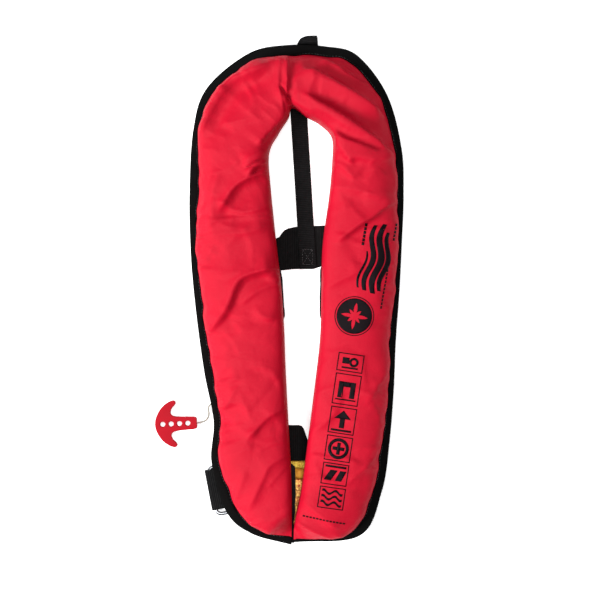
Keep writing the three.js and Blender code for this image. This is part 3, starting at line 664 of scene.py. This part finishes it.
class Horseshoe:
    """Evenly spaced stations along the horseshoe, foot to foot, in millimetres."""

    def __init__(self, count, start=0.0, end=1.0):
        outer, inner, seen = (spline([np.atleast_1d(p[k]) for p in EDGE], 60) for k in range(3))
        at = lengths_along((outer + inner) / 2)
        even = np.linspace(start * at[-1], end * at[-1], count)
        self.count = count
        self.along = even
        self.total = at[-1]
        self.outer = np.stack([np.interp(even, at, outer[:, k]) for k in (0, 1)], axis=1)
        self.inner = np.stack([np.interp(even, at, inner[:, k]) for k in (0, 1)], axis=1)
        self.seen = np.interp(even, at, seen[:, 0]) + self.waves(SEAM_WAVES)
        span = self.inner - self.outer
        self.width = np.linalg.norm(span, axis=1)
        self.across = span / self.width[:, None]
        x, y = ((self.outer + self.inner) / 2).T
        left = smooth_step(*LEFT_LIFT_Y, y)
        right = smooth_step(*RIGHT_LIFT_Y, y)
        self.lift = FOOT_LIFT * np.where(x < 0, left, right)
        self.fullness = smooth_step(*FULL_AT, self.width)
        self.rise = FLAT_RISE + (COVER_RISE - FLAT_RISE - 0.6 * self.lift) * self.fullness
        right_collar = smooth_step(80, 150, y) * smooth_step(-25, 25, x)
        self.crest = PEAK_PLACE + COLLAR_CREST * right_collar
        self.roundness = 0.52 + 1.0 * right_collar
        tape = np.maximum(TAPE_WIDTH, self.seen)
        self.tape = np.where(self.width < 40, np.minimum(tape, self.seen + 2), tape)
        y = self.inner[:, 1]
        self.beside_belt = smooth_step(-90, -78, y) * smooth_step(-12, -24, y)
        self.at_feet = smooth_step(-248, -262, y) * smooth_step(0, -4, x)

    def waves(self, terms):
        """Sum of slow waves along the horseshoe."""
        turns = 2 * math.pi * self.along / self.total
        return sum(height * np.sin(many * turns + phase) for many, height, phase in terms)

    def place(self, w, z):
        """Points at distances w from the outer edge and heights z, both one row per station."""
        plan = self.outer[:, None, :] + self.across[:, None, :] * np.asarray(w)[:, :, None]
        height = np.asarray(z) + self.lift[:, None]
        return np.concatenate([plan, height[:, :, None]], axis=2)


def layer_low(index):
    return BASE_Z + index * LAYER_PITCH


def cover_sections(shoe, dome_steps):
    """Distances and heights of the cover's cross-sections: a tucked rim, then the puffed dome."""
    rim_z = layer_low(4) + SHEET / 2
    start_z = rim_z + 3.2
    foot_z = BASE_Z + 0.2 + 2.4 * (shoe.beside_belt + shoe.at_feet)
    tuck = np.linspace(0, 1, TUCK_STEPS, endpoint=False)[:, None]
    theta = np.linspace(0, math.pi, 400)
    near = theta <= math.pi / 2
    c = np.abs(np.cos(theta))
    s = np.sin(theta)
    sections = []
    for i in range(shoe.count):
        w0, w1 = shoe.seen[i], shoe.width[i]
        peak = w0 + (w1 - w0) * shoe.crest[i]
        top = rim_z + shoe.rise[i]
        w = np.where(near, w0 + (peak - w0) * (1 - c), peak + (w1 - peak) * c ** 0.46)
        near_z = start_z + (top - start_z) * s ** shoe.roundness[i]
        far_z = foot_z[i] + (top - foot_z[i]) * s ** 0.32
        dome = resample(np.stack([w, np.where(near, near_z, far_z)], axis=1), dome_steps)
        under_tape = np.array([shoe.tape[i] - 2.5, rim_z])
        out_of_tape = np.array([shoe.tape[i] + 1.2, rim_z + 0.6])
        bend = (1 - tuck) ** 2 * under_tape + 2 * tuck * (1 - tuck) * out_of_tape + tuck ** 2 * dome[0]
        sections.append(np.vstack([bend, dome]))
    sections = np.array(sections)
    return sections[:, :, 0], sections[:, :, 1]


def grid_normals(points):
    along = np.gradient(points, axis=0)
    across = np.gradient(points, axis=1)
    normal = np.cross(across, along)
    normal /= np.maximum(np.linalg.norm(normal, axis=2, keepdims=True), 1e-9)
    return normal * np.sign(normal[:, normal.shape[1] // 2, 2].mean())


def fold_height(plan, kind, depth, half_width, line):
    """Height that one fold adds at each plan point."""
    line = spline(line, 8)
    nearest = np.full(len(plan), 1e9)
    signed = np.zeros(len(plan))
    place = np.zeros(len(plan))
    segments = len(line) - 1
    for k, (a, d) in enumerate(zip(line, np.diff(line, axis=0))):
        t = np.clip(((plan - a) @ d) / (d @ d), 0, 1)
        gap = plan - (a + t[:, None] * d)
        distance = np.hypot(gap[:, 0], gap[:, 1])
        closer = distance < nearest
        nearest = np.where(closer, distance, nearest)
        side = d[0] * gap[:, 1] - d[1] * gap[:, 0]
        signed = np.where(closer, np.sign(side) * distance, signed)
        place = np.where(closer, (k + t) / segments, place)
    fade = smooth_step(0, 0.18, place) * smooth_step(0, 0.18, 1 - place)
    sharp = np.exp(-nearest / (0.55 * half_width))
    broad = np.exp(-((nearest / (2.2 * half_width)) ** 2))
    if kind == "valley":
        return depth * fade * (0.42 * broad - 0.95 * sharp)
    if kind == "ridge":
        return depth * fade * (0.75 * sharp + 0.35 * broad)
    fall = 1 - 1.9 * (1 - np.exp(-np.maximum(-signed, 0) / (1.1 * half_width)))
    low_side = fall * np.exp(-((signed / (4.2 * half_width)) ** 2))
    high_side = np.exp(-signed / (3.2 * half_width))
    return depth * fade * np.where(signed > 0, high_side, low_side)


def small_wrinkles():
    """Random short folds over the lobes, the same each run."""
    shoe = Horseshoe(200, 0.04, 0.96)
    folds = []
    for _ in range(SMALL_WRINKLES):
        i = RANDOM.integers(4, 196)
        place = RANDOM.uniform(0.18, 0.9)
        middle = shoe.outer[i] + (shoe.inner[i] - shoe.outer[i]) * place
        turn = RANDOM.normal(0, 0.7)
        c, s = math.cos(turn), math.sin(turn)
        ax, ay = shoe.across[i]
        direction = np.array([c * ax - s * ay, s * ax + c * ay])
        length = RANDOM.uniform(18, 56)
        bow = RANDOM.normal(0, 0.12) * length * np.array([-direction[1], direction[0]])
        line = [middle - direction * length / 2, middle + bow, middle + direction * length / 2]
        folds.append((RANDOM.uniform(0.4, 1.3), RANDOM.uniform(1.8, 3.6), line))
    return folds


def rim_puckers(shoe, w):
    """Gathers where the cloth is sewn to the binding, fading away from it."""
    along = shoe.waves(PUCKER_WAVES) * (shoe.waves(STRENGTH_WAVES) + 1)
    away = np.maximum(w - shoe.seen[:, None], 0)
    fade = np.exp(-away / 11) * smooth_step(0, 3, away)
    inner = np.exp(-np.maximum(shoe.width[:, None] - w, 0) / 7)
    return along[:, None] * fade * 1.5 + shoe.waves(INNER_WAVES)[:, None] * inner


def simulate_cover(points):
    """Cloth run on a coarse cover: a slightly large cloth, blown up and held at both edges."""
    rows, columns = points.shape[:2]
    mesh = grid_mesh("cover_simulation", points)
    piece = link(bpy.data.objects.new("cover_simulation", mesh))
    held = piece.vertex_groups.new(name="held")
    edge = [r * columns + c for r in range(rows) for c in (0, 1, columns - 2, columns - 1)]
    edge += [r * columns + c for r in (0, rows - 1) for c in range(columns)]
    held.add(sorted(set(edge)), 1.0, "REPLACE")
    cloth = piece.modifiers.new("cloth", "CLOTH")
    for setting, value in CLOTH.items():
        setattr(cloth.settings, setting, value)
    cloth.settings.effector_weights.gravity = 0
    cloth.collision_settings.use_self_collision = False
    scene = bpy.context.scene
    for step in range(1, SETTLE_FRAMES + 1):
        scene.frame_set(step)
    depsgraph = bpy.context.evaluated_depsgraph_get()
    result = piece.evaluated_get(depsgraph).to_mesh()
    moved = np.array([v.co for v in result.vertices], float).reshape(rows, columns, 3) / MM
    scene.frame_set(1)
    bpy.data.objects.remove(piece)
    return moved


def stretch(field, count):
    """A field read off evenly along its first axis."""
    at = np.linspace(0, len(field) - 1, count)
    low = np.minimum(at.astype(int), len(field) - 2)
    share = (at - low)[:, None, None]
    return field[low] * (1 - share) + field[low + 1] * share


def spread(field, rows, columns):
    """A field on a coarse grid, read off smoothly on a finer one."""
    return stretch(stretch(field, rows).swapaxes(0, 1), columns).swapaxes(0, 1)


def soften(field):
    field[1:-1] = 0.25 * field[:-2] + 0.5 * field[1:-1] + 0.25 * field[2:]
    field[:, 1:-1] = 0.25 * field[:, :-2] + 0.5 * field[:, 1:-1] + 0.25 * field[:, 2:]
    return field


def simulated_wrinkles(shape):
    """Displacement of the fine cover found by the cloth run on a coarse one."""
    shoe = Horseshoe(COVER_STATIONS // 2)
    points = shoe.place(*cover_sections(shoe, 32))
    change = simulate_cover(points) - points
    size = np.linalg.norm(change, axis=2, keepdims=True)
    change = SIMULATED_SHARE * change * np.minimum(1, SIMULATED_CAP / np.maximum(size, 1e-6))
    inwards = np.sum(change * grid_normals(points), axis=2, keepdims=True) < 0
    change = np.where(inwards, 0.45 * change, change)
    place = np.linspace(0, 1, points.shape[1])
    fade = smooth_step(0.12, 0.3, place) * smooth_step(0.12, 0.38, 1 - place)
    return soften(spread(change * fade[:, None], *shape))


def make_cover():
    shoe = Horseshoe(COVER_STATIONS)
    w, z = cover_sections(shoe, DOME_STEPS)
    points = shoe.place(w, z)
    points = points + simulated_wrinkles(points.shape[:2])
    normal = grid_normals(points)
    plan = points[:, :, :2].reshape(-1, 2)
    height = np.zeros(len(plan))
    for kind, folds in {**FOLDS, "drape": [*FOLDS["drape"], *small_wrinkles()]}.items():
        for fold in folds:
            height += fold_height(plan, kind, *fold)
    height = np.clip(height.reshape(w.shape), *FOLD_LIMITS) + rim_puckers(shoe, w)
    place = np.linspace(0, 1, w.shape[1])
    mask = smooth_step(0.10, 0.19, place) * smooth_step(0, 0.18, 1 - place)
    height *= mask * shoe.fullness[:, None]
    sideways = smooth_step(0.12, 0.36, place) * smooth_step(0.24, 0.44, 1 - place)
    normal *= np.stack([sideways, sideways, np.ones_like(place)], axis=1)
    points = points + normal * height[:, :, None]
    cover = add_grid("cover_cloth", points, "red_cloth")
    thicken(cover, 0.6, -1)
    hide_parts("front_cover")
    return points


# ------------------------------------------------------------ binding, panel and closure

def tape_section(leg, low, high, inset=0.0):
    """Folded tape: distances and heights along one side, from the lower leg's end to the upper's."""
    radius = (high - low) / 2
    angle = np.linspace(-math.pi / 2, -3 * math.pi / 2, 8)
    fold_w = radius * 0.7 * (1 + np.cos(angle)) + inset
    fold_z = (low + high) / 2 + radius * np.sin(angle)
    w = np.concatenate([[leg, leg * 0.66, leg * 0.36], fold_w, [leg * 0.36, leg * 0.66, leg]])
    bulge = np.array([0, 0.1, 0.1, *([0] * len(fold_w)), 0.25, 0.35, 0])
    return w, np.concatenate([[low] * 3, fold_z, [high] * 3]) + bulge


def make_binding(name, node, first_layer):
    shoe = Horseshoe(700)
    low = layer_low(first_layer)
    high = layer_low(first_layer + 2) + SHEET
    rings = []
    for leg in shoe.tape + shoe.waves(LEG_WAVES):
        outside = np.array(tape_section(leg, low, high))
        inside = np.array(tape_section(leg, low + SHEET, high - SHEET, SHEET))
        rings.append(np.hstack([outside, inside[:, ::-1]]))
    w, z = np.array(rings).swapaxes(0, 1)
    points = shoe.place(w, z + shoe.waves(TAPE_WAVES)[:, None])
    add_grid(name, points, "black_tape", node, close_columns=True, caps=True)


def add_stitches(name, lines, slot, length=2.6, radius=0.28, pitch=3.6):
    """Separate stitches along lines of points, as one mesh of closed capsules."""
    sides = 6
    angle = np.linspace(0, 2 * math.pi, sides, endpoint=False)
    profile = [(-0.5, 0.35), (-0.3, 1.0), (0.3, 1.0), (0.5, 0.35)]
    capsule = [tuple(range(sides))[::-1], tuple(range(3 * sides, 4 * sides))]
    for a in range(3 * sides):
        b = a + 1 if (a + 1) % sides else a + 1 - sides
        capsule.append((a, b, b + sides, a + sides))
    vertices, faces = [], []
    for line in lines:
        line = np.asarray(line, float)
        at = lengths_along(line)
        count = int(at[-1] / pitch)
        middles = (np.arange(count) + 0.5) * at[-1] / count
        back, centre, ahead = (
            np.stack([np.interp(middles + step, at, line[:, k]) for k in range(3)], axis=1)
            for step in (-0.5, 0, 0.5)
        )
        for middle, along in zip(centre, ahead - back):
            along = along / np.linalg.norm(along)
            side = np.cross(along, [0, 0, 1.0])
            side /= np.linalg.norm(side)
            ring = np.outer(np.cos(angle), side) + np.outer(np.sin(angle), np.cross(side, along))
            faces += [tuple(len(vertices) + k for k in face) for face in capsule]
            for offset, share in profile:
                vertices += list((middle + along * offset * length + ring * radius * share) * MM)
    mesh = bpy.data.meshes.new(name)
    mesh.from_pydata([tuple(v) for v in vertices], [], faces)
    add_object(name, mesh, slot, finish=BLACK_THREAD)


def make_binding_stitches():
    shoe = Horseshoe(900, 0.004, 0.996)
    w = (shoe.tape - 1.8)[:, None]
    line = shoe.place(w, np.full_like(w, layer_low(5) + SHEET + 0.2))[:, 0]
    add_stitches("binding_stitches", [line], "black_tape")


def make_back_panel():
    shoe = Horseshoe(420)
    steps = 16
    # At the feet the panel reaches past the lobe's inner edge, and its first station past the left foot:
    # dark cloth in the gap between the feet, partly the black binding seen there and partly painted shade.
    end = shoe.width - 2.8 + 4.2 * shoe.beside_belt + 7.4 * shoe.at_feet + shoe.waves(PANEL_WAVES)
    w = np.linspace(np.full(shoe.count, SHEET + 0.8), end, steps, axis=1)
    ring_w = np.concatenate([w, end[:, None] + 0.35, w[:, ::-1]], axis=1)
    heights = layer_low(1) + np.array([0] * steps + [SHEET / 2] + [SHEET] * steps)
    points = shoe.place(ring_w, np.broadcast_to(heights, ring_w.shape))
    points[0, :, 0] += FOOT_CORNER
    panel = add_grid("back_panel_cloth", points, "black_cloth", "back_panel", close_columns=True, caps=True)


# ------------------------------------------------------------ webbing

def ribbon(
    name, node, path, width, thickness=WEBBING, side=None, rib=2.2, relief=0.22, slot="black_webbing",
    finish=None,
):
    """Webbing along a line of points: a flat band with rounded edges and raised cross ribs."""
    path = np.asarray(path, float)
    length = lengths_along(path)[-1]
    width = np.broadcast_to(width, len(path))
    both = resample(np.column_stack([path, width]), max(int(length / (rib / 4)), 8))
    path, width = both[:, :3], both[:, 3]
    tangent = directions(path)
    if side is None:
        side = np.cross(tangent, [0, 0, 1.0])
    side = np.broadcast_to(side, path.shape) / np.linalg.norm(side, axis=-1, keepdims=True)
    up = np.cross(side, tangent)
    r = thickness / 2
    flat = np.linspace(-1, 1, 9)
    round_edge = [(math.cos(a), math.sin(a)) for a in (-math.pi / 4, 0, math.pi / 4)]
    # Points of the section: share of the flat part, of the rounding and of the height, and ribbed or not.
    section = [(f, 0, -1, 1) for f in flat] + [(1, c, s, 0) for c, s in round_edge]
    section += [(f, 0, 1, 1) for f in flat[::-1]] + [(-1, -c, s, 0) for c, s in round_edge[::-1]]
    across, rounding, height, ribbed = np.array(section).T
    wave = relief * np.abs(np.sin(math.pi * lengths_along(path) / rib)) - relief
    reach = (width / 2 - r)[:, None] * across + r * rounding
    lift = height * (r + ribbed * wave[:, None])
    rings = path[:, None] + side[:, None] * reach[:, :, None] + up[:, None] * lift[:, :, None]
    return add_grid(name, rings, slot, node, finish=finish, close_columns=True, caps=True)


def eye_webbing(name, node, tail, outer, width, place, turn, flip=1):
    """Webbing sewn round a bar: along the tail, round the bar and back."""
    r = outer - WEBBING / 2
    angle = np.linspace(math.pi / 2, 2 * math.pi + math.pi / 5, 28)
    straight = np.stack([np.linspace(tail, 1, 20), np.full(20, r)], axis=1)
    line = np.vstack([straight, np.stack([r * np.cos(angle), r * np.sin(angle)], axis=1)])
    c, s = math.cos(turn), math.sin(turn)
    x, y, z = place
    path = [(x + c * u, y + s * u, z + flip * v) for u, v in line]
    return ribbon(name, node, path, width, side=(-s, c, 0))


def box_stitch(low, high, z, inset=2.5):
    """Lines of a sewn box with a cross in it."""
    x0, y0, x1, y1 = low[0] + inset, low[1] + inset, high[0] - inset, high[1] - inset
    square = [(x0, y0, z), (x1, y0, z), (x1, y1, z), (x0, y1, z), (x0, y0, z)]
    return [square, [(x0, y0, z), (x1, y1, z)], [(x0, y1, z), (x1, y0, z)]]


def make_harness():
    lean = math.tan(STRAP_LEAN)
    strap_line = [(STRAP_X - lean * y, y, z) for y, z in STRAP_HEIGHTS]
    side = (math.cos(STRAP_LEAN), math.sin(STRAP_LEAN), 0)
    ribbon("back_strap_webbing", "back_strap", spline(strap_line, 8), 20, side=side)
    make_waist_belt()
    loop = eye_webbing("grab_loop_webbing", "grab_loop", 44, 5.0, 27, (8.5, 251.6, 5.1), -math.pi / 2, -1)
    squeeze_loop(loop)
    eye_webbing("ring_webbing_band", "ring_webbing", 62, 4.4, 49, (-105.7, -287.2, 4.4), math.radians(11))
    eye_webbing("hook_webbing_band", "hook_webbing", 98, 4.4, 48, (60, -268, 4.4), math.pi / 2)
    x = np.linspace(-34, 12, 160)
    flat_band("belt_tail_webbing", "belt_tail", x, np.interp(x, *zip(*TAIL_TOP)), TAIL_BOTTOM, 1.7)
    add_stitches("strap_stitches", box_stitch((0.5, -20), (17.5, 3), 3.5), "black_webbing", 2.4, 0.25, 3.2)


def squeeze_loop(loop):
    """The grab loop's free end is pulled to one side."""
    for vertex in loop.data.vertices:
        x, y = vertex.co.x / MM, vertex.co.y / MM
        out = max(0, min(1, (y - 243) / 13))
        left = max(0, (12 - x) / 17)
        vertex.co.x += out * (4.5 * left - 1.5 * (1 - left)) * MM
        vertex.co.y -= out * 4.0 * left * left * MM


def flat_band(name, node, x, top, bottom, rib):
    """Webbing lying flat across the jacket, between an upper and a lower edge."""
    path = np.stack([x, (top + bottom) / 2, np.full_like(x, 0.8)], axis=1)
    ribbon(name, node, path, top - bottom, 1.4, side=(0, 1, 0), rib=rib)


def make_waist_belt():
    x = np.linspace(-84, 84, 600)
    top, bottom = (np.interp(x, *zip(*edge)) for edge in (BELT_TOP, BELT_BOTTOM))
    flat_band("waist_belt_webbing", "waist_belt", x, top, bottom, 1.9)
    for sign, name in ((-1, "left"), (1, "right")):
        ribbon(f"belt_run_{name}", None, [(sign * 60, y, 0.75) for y in (20, -100, -254)], 49, rib=3.0)


def make_crotch_strap():
    bundle = [
        ("crotch_strap_band", "crotch_strap", YELLOW_SATIN, -252.8, -262.4, 4.6, 0.9),
        ("crotch_strap_elastic", None, ORANGE_RIB, -262.4, -274.6, 4.0, 1.9),
        ("crotch_strap_weave", None, None, -274.6, -332.6, 3.4, 1.6),
    ]
    for name, node, finish, top, bottom, height, rib in bundle:
        path = [(x, (top + bottom) / 2, height / 2 + 0.1) for x in (-25.5, 0, 25.5)]
        ribbon(name, node, path, top - bottom, height, None, rib, 0.25, "yellow_webbing", finish)


# ------------------------------------------------------------ steel ring and hook

def rounded_rectangle(x0, y0, x1, y1, corner, steps=10):
    points = []
    middles = bar(x1 - corner, y1 - corner, x0 + corner, y0 + corner)
    for (cx, cy), start in zip(middles, (0, 90, 180, 270)):
        for k in range(steps + 1):
            angle = math.radians(start + 90 * k / steps)
            points.append((cx + corner * math.cos(angle), cy + corner * math.sin(angle)))
    return points


def make_ring():
    outline = rounded_rectangle(0, -28.5, 27, 28.5, 7)
    outline = resample([*outline, outline[0]], 140)[:-1]
    path = np.array([(x, y, 4.4) for x, y in leaning((-105.2, -289.2), math.radians(11), outline)])
    tangent = np.roll(path, -1, axis=0) - np.roll(path, 1, axis=0)
    tangent /= np.linalg.norm(tangent, axis=1)[:, None]
    first = np.cross(tangent, [0, 0, 1.0])[:, None]
    angle = np.linspace(0, 2 * math.pi, 16, endpoint=False)[None, :, None]
    rings = path[:, None] + 2.45 * (np.cos(angle) * first + np.sin(angle) * np.array([0, 0, 1.0]))
    add_grid("buckle_ring_rod", rings, "steel", "buckle_ring", "ring", close_rows=True, close_columns=True)


def make_hook():
    """Flat hook: a slot for the webbing, and a C that opens towards its tip."""
    outline = [
        (-2, -30), (8, -30), (30, -24), (40, -20), (40, -6), (33, -6), (33, -14), (22, -17), (18, 0),
        (22, 17), (33, 14), (33, 6), (40, 6), (40, 20), (30, 24), (8, 30), (-2, 30),
    ]
    slot = bar(2, -26, 9, 26)
    place = (-math.pi / 2, 60, -268)
    flat_moulding("buckle_hook_plate", outline, [slot], 2.8, 6.0, 0.5, "steel", "buckle_hook", "hook", place)


# ------------------------------------------------------------ printed art

def surface_lookup(points):
    """Finds the height of the cover under a plan point, in metres."""
    mesh = grid_mesh("cover_lookup", points)
    built = bmesh.new()
    built.from_mesh(mesh)
    tree = BVHTree.FromBMesh(built)
    built.free()
    bpy.data.meshes.remove(mesh)

    def height(x, y):
        hit = tree.ray_cast(Vector((x, y, 0.2)), Vector((0, 0, -1)))
        return hit[0].z if hit[0] else None

    return height


def print_piece(name, shapes, height, cell=2.5):
    """Thin layer of ink: flat shapes in millimetres, cut fine and laid on the cover."""
    built = bmesh.new()
    for shape in shapes:
        vertices = [built.verts.new((x * MM, y * MM, 0)) for x, y in shape]
        built.faces.new(vertices)
    bmesh.ops.remove_doubles(built, verts=built.verts, dist=0.01 * MM)
    bmesh.ops.triangulate(built, faces=built.faces)
    low = [min(v.co[k] for v in built.verts) for k in (0, 1)]
    high = [max(v.co[k] for v in built.verts) for k in (0, 1)]
    for axis, normal in ((0, (1, 0, 0)), (1, (0, 1, 0))):
        for cut in np.arange(low[axis] + cell * MM, high[axis], cell * MM):
            geometry = built.verts[:] + built.edges[:] + built.faces[:]
            plane = (cut, 0, 0) if axis == 0 else (0, cut, 0)
            bmesh.ops.bisect_plane(built, geom=geometry, plane_co=plane, plane_no=normal, dist=1e-7)
    lost = []
    for vertex in built.verts:
        z = height(vertex.co.x, vertex.co.y)
        if z is None:
            lost.append(vertex)
        else:
            vertex.co.z = z + 0.22 * MM
    bmesh.ops.delete(built, geom=lost, context="VERTS")
    bmesh.ops.recalc_face_normals(built, faces=built.faces)
    for face in built.faces:
        if face.normal.z < 0:
            face.normal_flip()
    mesh = bpy.data.meshes.new(name)
    built.to_mesh(mesh)
    built.free()
    piece = add_object(name, mesh, "red_cloth", finish=BLACK_INK)
    thicken(piece, 0.12, 0)


def strip(x, lower, upper):
    """A band between two lines over the same places, as a row of four-cornered pieces."""
    low, high = list(zip(x, lower)), list(zip(x, upper))
    return [[low[k], low[k + 1], high[k + 1], high[k]] for k in range(len(x) - 1)]


def ring_sectors(x, y, outer, inner, parts=24):
    """A ring as a row of four-cornered pieces."""
    shapes = []
    for k in range(parts):
        a, b = 2 * math.pi * k / parts, 2 * math.pi * (k + 1) / parts
        corners = [(outer, a), (outer, b), (inner, b), (inner, a)]
        shapes.append([(x + r * math.cos(t), y + r * math.sin(t)) for r, t in corners])
    return shapes


def star_radius(angle):
    """Edge of an eight-pointed star, its long and short points in turn."""
    corners = np.arange(17) * math.pi / 8
    reach = [(16, 4.6, 10, 4.6)[k % 4] for k in range(17)]
    return np.interp(angle % (2 * math.pi), corners, reach)


def emblem_shapes():
    """A disc with a compass star left open in it, and a stand of waves above it."""
    shapes = ring_sectors(0, 0, 23.4, 22.4, 48)
    steps = 96
    for k in range(steps):
        a, b = 2 * math.pi * k / steps, 2 * math.pi * (k + 1) / steps
        corners = [(21, a), (21, b), (star_radius(b), b), (star_radius(a), a)]
        shapes.append([(r * math.cos(t), r * math.sin(t)) for r, t in corners])
    for offset, half, first, last in WAVES:
        x = np.linspace(first, last, 36)
        y = offset + 3.2 * np.sin((x - 30) / 8.6)
        taper = half * np.sin(np.linspace(0.4, math.pi - 0.25, 36)) ** 0.4
        shapes += strip(x, y - taper, y + taper)
    return shapes


def frame_shapes(x, y, line=1.1):
    """Outline of a box of half width x and half height y."""
    return [
        bar(-x, -y, x, line - y), bar(-x, y - line, x, y),
        bar(-x, line - y, line - x, y - line), bar(x - line, line - y, x, y - line),
    ]


def icon_shapes(kind):
    """Plain signs for the six boxes, in a frame 29 wide and 27 tall about its middle."""
    if kind == 0:
        return [bar(-12, -2, -2, 7), *ring_sectors(5, 1, 7, 3.4, 20), bar(-12, -9, 12, -6.6)]
    if kind == 1:
        return [bar(-10, -10, -4, 9), bar(4, -10, 10, 9), bar(-4, 3, 4, 9), bar(-12, -13, 12, -11.4)]
    if kind == 2:
        return [bar(-3, -9, 3, 2), [(-10, 2), (10, 2), (0, 12)], bar(-12, -13, 12, -10.6)]
    if kind == 3:
        cross = [bar(-2, -7, 2, 7), bar(-7, -2, -2, 2), bar(2, -2, 7, 2)]
        return [*ring_sectors(0, 0, 12.4, 8.6, 24), *cross]
    if kind == 4:
        leaves = [[(-13, -8), (-4, -8), (3, 5), (-6, 5)], [(1, -8), (9, -8), (14, 5), (6, 5)]]
        return [*leaves, bar(-13, 8, 13, 10.6)]
    x = np.linspace(-13, 13, 21)
    y = 2.2 * np.sin(x / 2.4)
    return [piece for offset in (-7, 0, 7) for piece in strip(x, y + offset - 1.5, y + offset + 1.5)]


def make_print(points):
    height = surface_lookup(points)
    turn = math.radians(80)
    print_piece("print_emblem", [leaning(EMBLEM_CENTRE, turn, shape) for shape in emblem_shapes()], height)
    small = [bar(84 + 4.5 * k, 3.4, 87.6 + 4.5 * k, 6.4) for k in range(6)]
    small += [bar(14 + 4.4 * k, -30.5, 17.2 + 4.4 * k, -28.6) for k in range(11)]
    small += [bar(96 + 4.4 * k, -32, 99.2 + 4.4 * k, -29.6) for k in range(5)]
    print_piece("print_dashes", [leaning(EMBLEM_CENTRE, turn, shape) for shape in small], height)
    shapes = []
    for k, (top, bottom) in enumerate(zip(BOX_LINES, BOX_LINES[1:])):
        middle = (top + bottom) / 2
        share = (middle - BOX_LINES[0]) / (BOX_LINES[-1] - BOX_LINES[0])
        half_height = (top - bottom) / 2 - 1.2
        scale = min(1.0, half_height / 13.5)
        icon = [[(x * scale, y * scale) for x, y in shape] for shape in icon_shapes(k)]
        drawing = [*frame_shapes(15.4, half_height), *icon]
        shapes += [leaning((61 - 26 * share, middle), math.radians(-8.5), shape) for shape in drawing]
    print_piece("print_boxes", shapes, height)
    line = [bar(4 * k, 0, 4 * k + 2.8, 1.8) for k in range(13)]
    print_piece("print_footer", [leaning((3, -315), math.radians(-11), s) for s in line], height)


# ------------------------------------------------------------ inner pieces

def finish_cad_nodes():
    """Materials for the CAD nodes that stay."""
    slots = {part["node"]: part["material_slot"] for part in frame["record"]["subparts"]}
    for name, piece in frame["nodes"].items():
        if not piece.material_slots:
            piece.data.materials.append(None)
        for material_slot in piece.material_slots:
            material_slot.material = FINISHES[slots[name]]


def make_bladder():
    """The folded air chamber, its corners rounded by a remesh and a smoothing pass."""
    source = frame["nodes"]["air_bladder"]
    piece = add_object("bladder_folded", source.data.copy(), "bladder_cloth")
    remesh = piece.modifiers.new("remesh", "REMESH")
    remesh.mode = "VOXEL"
    remesh.voxel_size = 0.005
    relax = piece.modifiers.new("relax", "SMOOTH")
    relax.iterations = 5
    relax.factor = 0.5
    apply_modifiers(piece)
    normals = [vertex.normal.copy() for vertex in piece.data.vertices]
    for vertex, normal in zip(piece.data.vertices, normals):
        vertex.co -= normal * BLADDER_MARGIN * MM
    smooth_shading(piece.data)
    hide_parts("air_bladder")


finish_cad_nodes()
cover_points = make_cover()
make_binding("front_binding_tape", "front_binding", 3)
make_binding("back_binding_tape", "back_binding", 0)
make_binding_stitches()
make_back_panel()
make_harness()
make_crotch_strap()
make_ring()
make_hook()
make_print(cover_points)
make_bladder()
